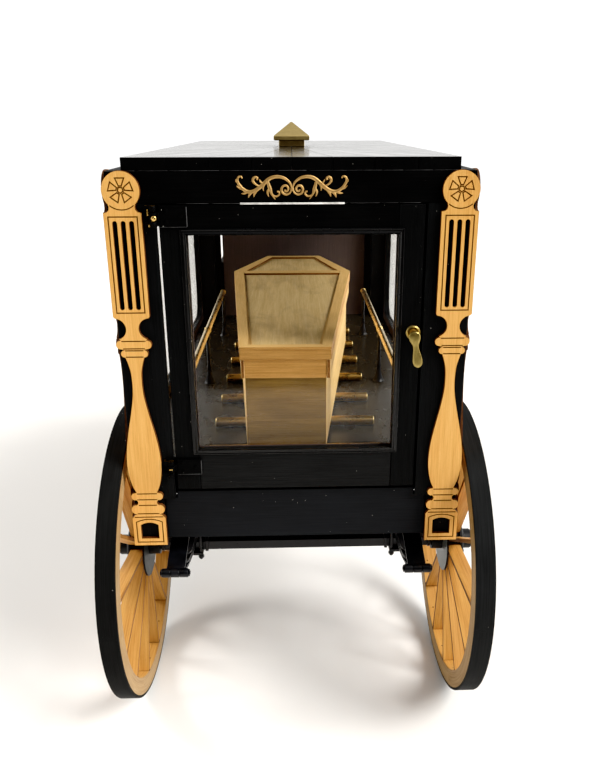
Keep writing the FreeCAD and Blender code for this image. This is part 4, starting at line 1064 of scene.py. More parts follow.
# ================================================================ rear door
def build_door():
    x0, x1, y0, y1, z0, z1 = DOOR
    gx, gz0, gz1 = PANE[1], PANE[4], PANE[5]
    p = Piece("door_boards", "rear_door", JOINERY, INNER, LACQUER, RAIL_LOW_LIT)
    back = lambda f: 1 if f.normal.y > 0.6 else 0
    p.add(box(x0, -gx, y0, y1, z0, z1, 0.25), along="z", matf=back)
    p.add(box(gx, x1, y0, y1, z0, z1, 0.25), along="z", matf=back)
    # top rail in the darker lacquer (painted shade) and bottom rail in the lighter paint (painted light): the door is
    # darker at the top and lighter at the foot
    p.add(box(-gx + 0.04, gx - 0.04, y0 + 0.04, y1, gz1, z1, 0.25), along="x", matf=lambda f: back(f) or 2)
    p.add(box(-gx + 0.04, gx - 0.04, y0 + 0.04, y1, z0, gz0, 0.25), along="x", matf=lambda f: back(f) or 3)
    # glazing beads behind the pane
    for a in ((-gx, gx, gz0, gz0 + 0.3), (-gx, gx, gz1 - 0.3, gz1)):
        p.add(box(a[0], a[1], 2.42, y1 - 0.02, a[2], a[3], 0.08), along="x", matf=lambda f: 1)
    for a in ((-gx, -gx + 0.3), (gx - 0.3, gx)):
        p.add(box(a[0], a[1], 2.42, y1 - 0.02, gz0 + 0.3, gz1 - 0.3, 0.08), along="z", matf=lambda f: 1)
    p.done("black_satin", ["door_frame"])

    g = Piece("door_glass", "rear_door", GLASS)
    g.add(box(-gx + 0.03, gx - 0.03, PANE[2], PANE[3], gz0 + 0.03, gz1 - 0.03, 0.0), along="x")
    g.done("clear_pane", ["door_pane"], weighted=False, angle=30)

    m = Piece("door_bead", "rear_door", BEADM)
    # across from the opening outwards, height off the door face
    sec = [(0.0, 0.02), (0.0, 0.78), (0.12, 0.9), (0.42, 0.9), (0.62, 0.78), (0.86, 0.5), (1.1, 0.36), (1.4, 0.34), (1.55, 0.44),
           (1.78, 0.46), (1.98, 0.36), (2.1, 0.16), (2.1, 0.02)]
    cor = [(-gx, gz0), (gx, gz0), (gx, gz1), (-gx, gz1)]
    out = [(-1, -1), (1, -1), (1, 1), (-1, 1)]
    for k in range(4):
        j = (k + 1) % 4
        bm = bmesh.new()
        d = Vector((cor[j][0] - cor[k][0], cor[j][1] - cor[k][1])).normalized() * 0.03
        ra = [bm.verts.new((cor[k][0] + out[k][0] * u + d.x, -h, cor[k][1] + out[k][1] * u + d.y)) for u, h in sec]
        rb = [bm.verts.new((cor[j][0] + out[j][0] * u - d.x, -h, cor[j][1] + out[j][1] * u - d.y)) for u, h in sec]
        n = len(sec)
        for i in range(n):
            bm.faces.new((ra[i], ra[(i + 1) % n], rb[(i + 1) % n], rb[i]))
        bm.faces.new(ra)
        bm.faces.new(rb[::-1])
        bmesh.ops.recalc_face_normals(bm, faces=bm.faces)
        m.add(bm, along="x" if k % 2 == 0 else "z")
    m.done("black_satin", ["door_moulding"], angle=40.0)

    # stops on the frame behind the door's closing edges, and a thin pale strip over its top edge that paints the glint
    # of light along the door head
    t = Piece("door_stops", "carriage", LACQUER)
    t.add(box(43.3, 47.0, 4.12, 5.3, 101.3, 209.2, 0.15), along="z")
    t.add(box(-47.0, -43.3, 4.12, 5.3, 201.6, 209.2, 0.15), along="z")
    t.add(box(-47.0, -43.3, 4.12, 5.3, 101.3, 116.0, 0.15), along="z")
    t.add(box(-43.2, 43.2, 4.12, 5.3, 207.4, 209.2, 0.15), along="x")
    t.done("black_satin")
    # dust along the joints of roof, header and door head, in pale grey strips that also paint the light caught on those
    # edges (painted highlight)
    d = Piece("joint_dust_and_painted_highlight", "carriage", HIGHLIGHT_GREY)
    for x0, x1, z in ((-54.6, 54.6, TOP - 4.2), (-38.0, 43.0, HEAD[4])):
        x = x0
        while x < x1:
            e = min(x1, x + rng.uniform(3.0, 14.0))
            d.add(box(x, e, -0.035, 0.12, z - rng.uniform(0.05, 0.09), z + rng.uniform(0.04, 0.08), 0.01, 1), along="x")
            x = e + rng.uniform(0.2, 1.4)
    d.done(weighted=False)

    t = Piece("door_head_painted_glint", "carriage", GLINT_PALE)
    t.add(box(-17.2, 17.2, -0.12, 3.9, 209.08, 209.66, 0.05), along="x")
    t.done("iron_black")

    # hinges
    hx, hy = -45.7, -1.9
    s = Piece("hinge_leaves", "rear_door", LACQUER, BRASS, HIGHLIGHT_GREY)
    s.add(node_mesh("door_hinge_straps", 0.09, 2), 0, along="x")
    for zc, half in ((205.45, 3.55), (114.6, 3.0)):
        # painted highlight: pale grey strips along the leaf's free edges where they catch the light
        s.add(box(-34.98, -34.74, -0.86, -0.1, zc - half + 0.1, zc + half - 0.5, 0.08), 2, along="z")
        s.add(box(-43.6, -34.9, -0.86, -0.1, zc - half - 0.04, zc - half + 0.16, 0.07), 2, along="x")
        for xx_, zz in ((-41.6, 1.9), (-41.6, -1.9), (-37.0, 0.0)):
            cut = screw(s, xx_, -0.8, zc + zz, 0.78, "-y", 0, 25 + zz * 40, 0.14)
            s.add(cut, 0)
    s.done("iron_black", ["door_hinge_straps"])
    q = Piece("hinge_knuckles", "carriage", LACQUER, BRASS)
    q.add(node_mesh("door_hinge_pins", 0.06, 1), 0, along="z",
          matf=lambda f: 1 if (f.calc_center_median() - Vector((hx, hy, f.calc_center_median().z))).length < 0.62 else 0)
    # a domed brass pin head, and brass showing where the paint has chipped off the short leaf
    q.add(lathe([(0, -3.05), (0.3, -3.45), (0.62, -3.4), (0.86, -3.2), (0.95, -2.95), (0.95, -2.6), (0, -2.6)], "y", (-45.2, 0, 205.0), 20), 1)
    q.add(box(-47.3, -46.9, -3.02, -2.2, 205.9, 207.9, 0.06), 1, along="z")
    q.add(box(-47.1, -46.6, -3.02, -2.4, 202.3, 203.0, 0.08), 1, along="z")
    q.add(box(-46.3, -45.0, -3.25, -3.02, 114.5, 114.85, 0.05), 1, along="x")
    q.done("iron_black", ["door_hinge_pins"])

    # lever handle
    han = nb("door_handle")
    hxc, hzc = 41.7, 165.1
    h = Piece("door_lever", "rear_door", OLD_BRASS, BRASS_END)
    h.add(lathe([(0, 0), (2.6, 0), (2.62, -0.5), (2.45, -0.95), (2.15, -1.1), (1.95, -0.95), (1.8, -0.6), (1.55, -0.5), (1.3, -0.7), (1.15, -1.4),
                 (1.15, -3.2), (0, -3.2)], "y", (hxc, 0, hzc), 40), along="y", matf=lambda f: 1 if f.normal.y > -0.75 else 0)
    # x half width, z, front y, thickness
    rows = [(0.4, 1.15, -3.6, 0.8), (1.3, 0.85, -3.95, 1.2), (1.85, 0.1, -4.15, 1.35), (2.05, -0.8, -4.2, 1.4), (1.95, -1.8, -4.2, 1.35),
            (1.6, -2.7, -4.15, 1.25), (1.15, -3.6, -4.05, 1.1), (1.0, -4.6, -4.0, 1.0), (1.15, -5.9, -3.98, 0.95), (1.42, -7.4, -3.98, 0.95),
            (1.66, -8.9, -4.0, 0.95), (1.72, -10.0, -4.0, 0.9), (1.45, -11.1, -3.98, 0.85), (0.9, -11.75, -3.9, 0.7), (0.25, -12.05, -3.8, 0.4)]
    bm = bmesh.new()
    k = 16
    rings = []
    for hw, z, yf, th in rows:
        ring = []
        for i in range(k):
            a = 2 * math.pi * i / k
            ca, sa = math.cos(a), math.sin(a)
            e = 0.75
            ring.append(bm.verts.new((hw * math.copysign(abs(ca) ** e, ca), yf + th / 2 + th / 2 * math.copysign(abs(sa) ** e, sa), z)))
        rings.append(ring)
    for a, b in zip(rings, rings[1:]):
        for i in range(k):
            bm.faces.new((a[i], a[(i + 1) % k], b[(i + 1) % k], b[i]))
    bm.faces.new(rings[0])
    bm.faces.new(rings[-1])
    bmesh.ops.recalc_face_normals(bm, faces=bm.faces)
    bmesh.ops.subdivide_edges(bm, edges=bm.edges, cuts=1, use_grid_fill=True, smooth=0.6)
    h.add(moved(bm, Matrix.Translation((hxc, 0, hzc)) @ Matrix.Rotation(math.radians(-9.0), 4, "Y")), along="z")
    h.done("brass", ["door_handle"], angle=60.0)


# ================================================================ running gear
def elliptic(piece, y_c, y_half, z_low, z_top, x_c, mat=0):
    z_eye = (z_low + z_top) / 2.0
    t, n = 1.1, 28
    for sgn, z_out in ((1.0, z_top), (-1.0, z_low)):
        hgt = abs(z_out - z_eye)
        rad = (y_half ** 2 + hgt ** 2) / (2.0 * hgt)
        for i in range(3):
            half = y_half * (1.0 - 0.22 * i)
            hw = 3.5 - 0.15 * i
            bm = bmesh.new()
            rings = []
            for k in range(n + 1):
                y = -half + 2 * half * k / n
                rr = rad - i * t
                zo = rad - math.sqrt(max(rad * rad - y * y, 0.0)) if i == 0 else rad - math.sqrt(max(rr * rr - y * y, 0.0)) + 0.0
                zo = (rad - math.sqrt(rad * rad - y * y)) if i == 0 else (i * t + (rr - math.sqrt(rr * rr - y * y)))
                z_o = z_out - sgn * zo
                z_i = z_o - sgn * (t - 0.06)
                end = min((half - abs(y)) / 5.0, 1.0) if i else 1.0
                w = hw * (0.45 + 0.55 * math.sqrt(max(end, 0.0))) if i else hw
                c = 0.16
                zz = [(w - c, z_o), (w, z_o - sgn * c), (w, z_i + sgn * c), (w - c, z_i), (-w + c, z_i), (-w, z_i + sgn * c),
                      (-w, z_o - sgn * c), (-w + c, z_o)]
                rings.append([bm.verts.new((x_c + u, y_c + y, v)) for u, v in zz])
            for a, b in zip(rings, rings[1:]):
                for q in range(8):
                    bm.faces.new((a[q], a[(q + 1) % 8], b[(q + 1) % 8], b[q]))
            bm.faces.new(rings[0])
            bm.faces.new(rings[-1])
            bmesh.ops.recalc_face_normals(bm, faces=bm.faces)
            piece.add(bm, mat, along="y")
    for s in (-1, 1):
        o = (x_c, y_c + s * y_half, z_eye)
        # rolled eye: outer leaves' eyes, inner eye and the bolt through them with its nuts
        for a, b in ((-5.0, -1.72), (-1.6, 1.6), (1.72, 5.0)):
            piece.add(lathe([(0.4, a), (1.55, a), (1.72, a + 0.18), (1.72, b - 0.18), (1.55, b), (0.4, b)], "x", o, 24), mat, along="x")
        piece.add(lathe([(0, -5.8), (0.55, -5.8), (0.75, -5.65), (0.75, 5.65), (0.55, 5.8), (0, 5.8)], "x", o, 16), mat, along="x")
        for a, b in ((-5.55, -5.05), (5.05, 5.55)):
            piece.add(lathe([(0, a), (1.3, a), (1.35, a + 0.08), (1.35, b - 0.08), (1.3, b), (0, b)], "x", o, 6), mat, along="x")


def clamp(piece, x_c, y_c, z_bottom, z_top, mat=0):
    for dx in (-5.2, 5.2):
        for dy in (-3.4, 3.4):
            piece.add(lathe([(0, z_bottom - 3.6), (0.5, z_bottom - 3.6), (0.72, z_bottom - 3.4), (0.72, z_top)], "z",
                            (x_c + dx, y_c + dy, 0), 12), mat, along="z")
            piece.add(lathe([(0, z_bottom - 2.9), (1.15, z_bottom - 2.9), (1.25, z_bottom - 2.8), (1.25, z_bottom - 1.65),
                             (1.15, z_bottom - 1.55), (0, z_bottom - 1.55)], "z", (x_c + dx, y_c + dy, 0), 6), mat, along="z")
    piece.add(box(x_c - 6.2, x_c + 6.2, y_c - 4.4, y_c + 4.4, z_bottom - 1.5, z_bottom - 0.02, 0.3), mat, along="x")
    for dx in (-5.2, 5.2):
        piece.add(sweep([(x_c + dx, y_c - 3.4, z_top - 0.6), (x_c + dx, y_c - 2.6, z_top - 0.05), (x_c + dx, y_c, z_top + 0.05),
                         (x_c + dx, y_c + 2.6, z_top - 0.05), (x_c + dx, y_c + 3.4, z_top - 0.6)],
                        lambda i, n: circle(0.72, 10), up=Vector((1, 0, 0))), mat, along="y")
    piece.add(box(x_c - 6.0, x_c + 6.0, y_c - 2.4, y_c + 2.4, z_top - 1.2, z_top - 0.45, 0.2), mat, along="x")


def build_gear():
    REAR_Y = (nb("rear_left_wheel")[2] + nb("rear_left_wheel")[3]) / 2.0
    FRONT_Y = (nb("front_left_wheel")[2] + nb("front_left_wheel")[3]) / 2.0
    sx = 46.5
    p = Piece("rear_elliptic_springs", "carriage", IRON)
    for s in (-1, 1):
        elliptic(p, REAR_Y, 38.5, 64.2, 80.8, s * sx)
        a, b = sorted((s * (sx - 4.2), s * (sx + 2.8)))
        p.add(box(a, b, REAR_Y - 7.0, REAR_Y + 7.0, 80.5, 83.9, 0.35))
    p.done("iron_black", ["rear_springs"])
    p = Piece("rear_axle_bar", "carriage", IRON)
    for (y, z, name) in ((REAR_Y, 62.0, None),):
        p.add(box(-58.0, 58.0, y - 2.1, y + 2.1, 59.9, 64.15, 0.35), along="x")
        for s in (-1, 1):
            p.add(lathe([(0, s * 57.0), (2.0, s * 57.0), (2.0, s * 75.2), (1.7, s * 75.6), (0, s * 75.6)], "x", (0, y, z), 24), along="x")
            p.add(lathe([(0, s * 57.2), (3.0, s * 57.2), (3.15, s * 57.35), (3.15, s * 58.2), (3.0, s * 58.35), (0, s * 58.35)], "x", (0, y, z), 24))
            clamp(p, s * sx, y, 59.9, 69.2)
            p.add(box(*sorted((s * 38.2, s * 39.6)), y - 2.7, y + 2.7, 59.4, 64.6, 0.3))
    p.done("iron_black", ["rear_axle"])

    p = Piece("front_elliptic_springs", "fore_carriage", IRON)
    for s in (-1, 1):
        elliptic(p, FRONT_Y, 31.0, 44.2, 72.0, s * sx)
        p.add(box(s * sx - 4.0, s * sx + 4.0, FRONT_Y - 6.5, FRONT_Y + 6.5, 71.7, 77.1, 0.35))
    p.done("iron_black", ["front_springs"])
    p = Piece("front_axle_bar", "fore_carriage", IRON)
    p.add(box(-58.0, 58.0, FRONT_Y - 2.1, FRONT_Y + 2.1, 39.9, 44.15, 0.35), along="x")
    for s in (-1, 1):
        p.add(lathe([(0, s * 57.0), (2.0, s * 57.0), (2.0, s * 75.2), (1.7, s * 75.6), (0, s * 75.6)], "x", (0, FRONT_Y, 42.0), 24), along="x")
        p.add(lathe([(0, s * 57.2), (3.0, s * 57.2), (3.15, s * 57.35), (3.15, s * 58.2), (3.0, s * 58.35), (0, s * 58.35)], "x", (0, FRONT_Y, 42.0), 24))
        clamp(p, s * sx, FRONT_Y, 39.9, 49.2)
    p.done("iron_black", ["front_axle"])

    for node_, body, nm, mt, sl in (("turntable_upper", "carriage", "turntable_ring", IRON, "iron_black"),
                                    ("bolster", "fore_carriage", "bolster_and_lower_ring", IRON, "iron_black"),
                                    ("kingpin", "carriage", "king_bolt", IRON, "iron_black"),
                                    ("futchells", "fore_carriage", "futchell_arms", SATIN, "black_satin")):
        q = Piece(nm, body, mt)
        q.add(node_mesh(node_, 0.25, 2), along="y" if node_ == "futchells" else "x")
        if node_ == "futchells":
            for s in (-1, 1):
                for y, z in ((284.0, 73.4), (300.0, 71.2), (320.0, 67.0)):
                    x = 9.6
                    q.add(lathe([(0, s * (x - 0.1)), (1.1, s * (x - 0.1)), (1.15, s * (x + 0.3)), (0.7, s * (x + 0.65)), (0, s * (x + 0.7))],
                                "x", (0, y, z), 6))
        q.done(sl, [node_])

    q = Piece("splinter_bar_wood", "fore_carriage", SATIN, IRON)
    q.add(box(-62.0, 62.0, 325.6, 331.0, 69.0, 73.0, 0.6, 3), along="x")
    for x in (-56.0, -20.0, 20.0, 56.0):
        q.add(lathe([(0, 72.9), (2.3, 72.9), (2.3, 73.3), (1.6, 73.6), (1.4, 74.4), (1.35, 76.6), (1.7, 77.3), (2.3, 77.7), (2.4, 78.1),
                     (2.2, 78.5), (1.2, 78.7), (0, 78.7)], "z", (x, 328.3, 0), 24), 1, along="z")
        q.add(box(x - 2.6, x - 1.6, 325.45, 331.15, 68.85, 73.15, 0.2), 1)
        q.add(box(x + 1.6, x + 2.6, 325.45, 331.15, 68.85, 73.15, 0.2), 1)
    q.done("black_satin", ["splinter_bar"])

    tip = nb("pole_end")[3]
    pz = 66.6
    q = Piece("draught_pole", "fore_carriage", SATIN, IRON)
    q.add(box(-3.6, 3.6, 300.0, 346.0, pz - 2.3, pz + 2.3, 0.45, 3), along="y")
    n = 36
    path = [(0, 344.5 + (tip - 10.0 - 344.5) * i / n, pz) for i in range(n + 1)]
    q.add(sweep(path, lambda i, m: circle(3.25 + (2.2 - 3.25) * i / (m - 1.0), 24)), along="y")
    for y in (303.0, 322.0, 341.0):
        q.add(box(-3.75, 3.75, y - 1.1, y + 1.1, pz - 2.45, pz + 2.45, 0.2), 1)
        for s in (-1, 1):
            q.add(lathe([(0, s * 3.7), (1.0, s * 3.7), (1.05, s * 3.95), (0.6, s * 4.25), (0, s * 4.3)], "x", (0, y, pz), 6), 1)
    q.done("black_satin", ["pole"])
    q = Piece("pole_ferrule", "fore_carriage", BRASS, IRON)
    q.add(lathe([(0, tip - 10.0), (3.1, tip - 10.0), (3.1, tip - 8.8), (2.85, tip - 8.6), (2.4, tip - 8.5), (2.4, tip - 0.8), (2.2, tip - 0.25),
                 (1.6, tip), (0, tip)], "y", (0, 0, pz), 36), 0, along="y")
    q.add(lathe([(2.35, tip - 16.2), (2.85, tip - 16.2), (3.0, tip - 16.0), (3.0, tip - 14.0), (2.85, tip - 13.8), (2.35, tip - 13.8)], "y",
                (0, 0, pz), 36, closed=True), 0, along="y")
    q.add(lathe([(0.9, pz + 2.6), (0.9, pz + 4.6), (0.7, pz + 5.1), (0, pz + 5.2)], "z", (0, tip - 15.0, 0), 20), 0, along="z")
    q.done("brass", ["pole_end"])


# ================================================================ wheels
def build_wheel(name, side, count, phase, disc_r, felloes):
    b = nb(name + "_wheel")
    t = nb(name + "_tyre")
    yc = (t[2] + t[3]) / 2.0
    r = (t[5] - t[4]) / 2.0
    body = name + "_wheel"
    x0, x1 = 64.0, 71.2
    ri, ro = r - 1.1 - 6.6, r - 1.1
    flip = Matrix.Diagonal((side, 1, 1, 1))

    def polar(a, rr, x):
        a = math.radians(a)
        return Vector((x, yc + rr * math.cos(a), r + rr * math.sin(a)))

    # phase is the angle from straight ahead, turning upwards, as in the CAD
    # on the right wheel the felloe sides and spoke edges take the darker woods as painted shade; on the left wheel the
    # spoke edges take the paler wood as painted light
    p = Piece(name + "_spoked_wheel", body, BEECH, SCORCH, FELLOE_R if side > 0 else FELLOE, SPOKE_EDGE_SHADED if side > 0 else SPOKE_EDGE_LIT, HUBM)
    hub_r = disc_r * 0.55
    step = 360.0 / felloes
    start = phase + 180.0 / count
    nseg = max(10, int(168 / felloes))
    gap = math.degrees(0.035 / ro)
    c = 0.28
    for k in range(felloes):
        a0, a1 = start + step * k + gap, start + step * (k + 1) - gap
        bm = bmesh.new()
        rings = []
        for i in range(nseg + 1):
            a = a0 + (a1 - a0) * i / nseg
            sec = [(ri, x0 + c), (ri, x1 - c), (ri + c, x1 - 0.02), (ro, x1 - 0.02), (ro, x0 + 0.02), (ri + c, x0 + 0.02)]
            rings.append([bm.verts.new(polar(a, rr, x)) for rr, x in sec])
        for u, v in zip(rings, rings[1:]):
            for q in range(6):
                bm.faces.new((u[q], u[(q + 1) % 6], v[(q + 1) % 6], v[q]))
        bm.faces.new(rings[0])
        bm.faces.new(rings[-1])
        bmesh.ops.recalc_face_normals(bm, faces=bm.faces)

        def g(co, m0=math.radians((a0 + a1) / 2)):
            d = Vector((co.y - yc, co.z - r))
            a = (math.atan2(d.y, d.x) - m0 + math.pi) % (2 * math.pi) - math.pi
            return Vector((a * ri, co.x * side, d.length))
        p.add(moved(bm, flip), gfun=g, matf=lambda f: 2 if abs(f.normal.x) > 0.6 else 0)
    for k in range(count):
        a = phase + 360.0 * k / count
        ca, sa = math.cos(math.radians(a)), math.sin(math.radians(a))
        rot = Matrix(((1, 0, 0, 0), (0, ca, -sa, yc), (0, sa, ca, r), (0, 0, 0, 1)))

        def g(co, rot=rot):
            q = rot.inverted() @ Vector((co.x * side, co.y, co.z))
            return Vector((q.y, q.x, q.z))
        # strip: a touch wider towards the rim
        sp = prism([(hub_r - 0.4, 64.32), (ri + 0.6, 64.3), (ri + 0.6, 70.4), (hub_r - 0.4, 70.38)], "xy", -0.75, 0.75, 0.14)
        sp = moved(sp, Matrix(((0, 1, 0, 0), (1, 0, 0, 0), (0, 0, 1, 0), (0, 0, 0, 1))))
        # painted light and shade: the right wheel's spokes get the lighter tints and the left wheel's the darker ones
        p.add(moved(sp, flip @ rot), 0, gfun=g, tint=rng.uniform(0.5, 1.0) if side > 0 else rng.uniform(0.0, 0.5),
              matf=lambda f: 3 if abs(f.normal.x) > 0.8 else 0)
        # darker root where the strip enters the nave
        col = box(64.22, 70.48, hub_r - 0.3, hub_r + 0.45, -0.8, 0.8, 0.03, 1)
        p.add(moved(col, flip @ rot), 1, gfun=g)
        # scorched line round the foot of the spoke in the felloe
        col = box(64.12, 70.58, ri - 0.09, ri + 0.3, -0.93, 0.93, 0.03, 1)
        p.add(moved(col, flip @ rot), 1, gfun=g)
        # pin hole on the felloe, midway to the next spoke
        am = a + 180.0 / count
        ca, sa = math.cos(math.radians(am)), math.sin(math.radians(am))
        rot2 = Matrix(((1, 0, 0, 0), (0, ca, -sa, yc), (0, sa, ca, r), (0, 0, 0, 1)))
        pin = lathe([(0, ri - 0.03), (0.32, ri - 0.03), (0.4, ri + 0.05), (0.4, ri + 0.4), (0, ri + 0.4)], "y", (66.3, 0, 0), 12)
        p.add(moved(pin, flip @ rot2), 1)
    p.add(moved(lathe([(4.25, 64.32), (hub_r, 64.32), (hub_r, 70.38), (4.25, 70.38)], "x", (0, yc, r), 48, closed=True), flip), 4,
          gfun=lambda co: Vector((co.z, co.y, co.x)))
    p.done("wheel_wood", [name + "_wheel"], angle=42.0)

    q = Piece(name + "_tyre_band", body, TYRE_R if side > 0 else TYRE)
    e = 0.22
    prof = [(ro + 0.02, x0), (r - e, x0), (r - e * 0.3, x0 + e * 0.3), (r, x0 + e), (r, x1 - e), (r - e * 0.3, x1 - e * 0.3), (r - e, x1),
            (ro + 0.02, x1)]
    q.add(moved(lathe(prof, "x", (0, yc, r), 192, closed=True), flip), 0,
          gfun=lambda co: Vector((math.atan2(co.z - r, co.y - yc) * r, co.x, 0)))
    q.done("tyre_black", [name + "_tyre"], angle=42.0)

    # the right wheel's disc takes the painted-reflection grey, the left wheel's the painted-shade dark
    h = Piece(name + "_nave", body, HUBM, IRON, DISC_SHEEN if side > 0 else DISC_SHADED)
    d2 = disc_r * 0.62
    o = (0, yc, r)
    inner = [(2.4, 58.8), (3.8, 58.8), (4.1, 58.95), (4.2, 59.3), (4.2, 63.5), (disc_r - 0.2, 63.5),
             (disc_r - 0.06, 63.54), (disc_r, 63.66), (disc_r, 64.3), (4.2, 64.3), (4.2, 70.4), (d2, 70.4), (d2, 71.3), (d2 - 0.5, 71.8),
             (d2 * 0.8, 71.8), (d2 * 0.74, 72.2), (5.4, 72.2), (4.6, 72.5), (4.2, 73.0), (4.2, 75.6), (3.9, 76.2), (3.2, 76.6), (0.9, 76.6),
             (0.9, 76.3), (0, 76.3)]
    h.add(moved(lathe([(0, 75.9), (2.4, 75.9)] + inner, "x", o, 56), flip), gfun=lambda co: Vector((co.x, co.y, co.z)),
          matf=lambda f: 2 if (abs(f.normal.x) > 0.8 and abs(abs(f.calc_center_median().x) - 63.55) < 0.3) else 0)
    for k in range(6):
        a = 60.0 * k + 15.0
        for rr, xx_, sgn in ((d2 * 0.87, 71.8, 1.0),):
            cpt = polar(a, rr, xx_)
            bolt = lathe([(0, -0.05 * sgn), (0.62, -0.05 * sgn), (0.62, 0.28 * sgn), (0.5, 0.4 * sgn), (0, 0.42 * sgn)], "x", tuple(cpt), 6)
            h.add(moved(bolt, flip), 1)
    h.done("iron_black", [name + "_hub"], angle=42.0)


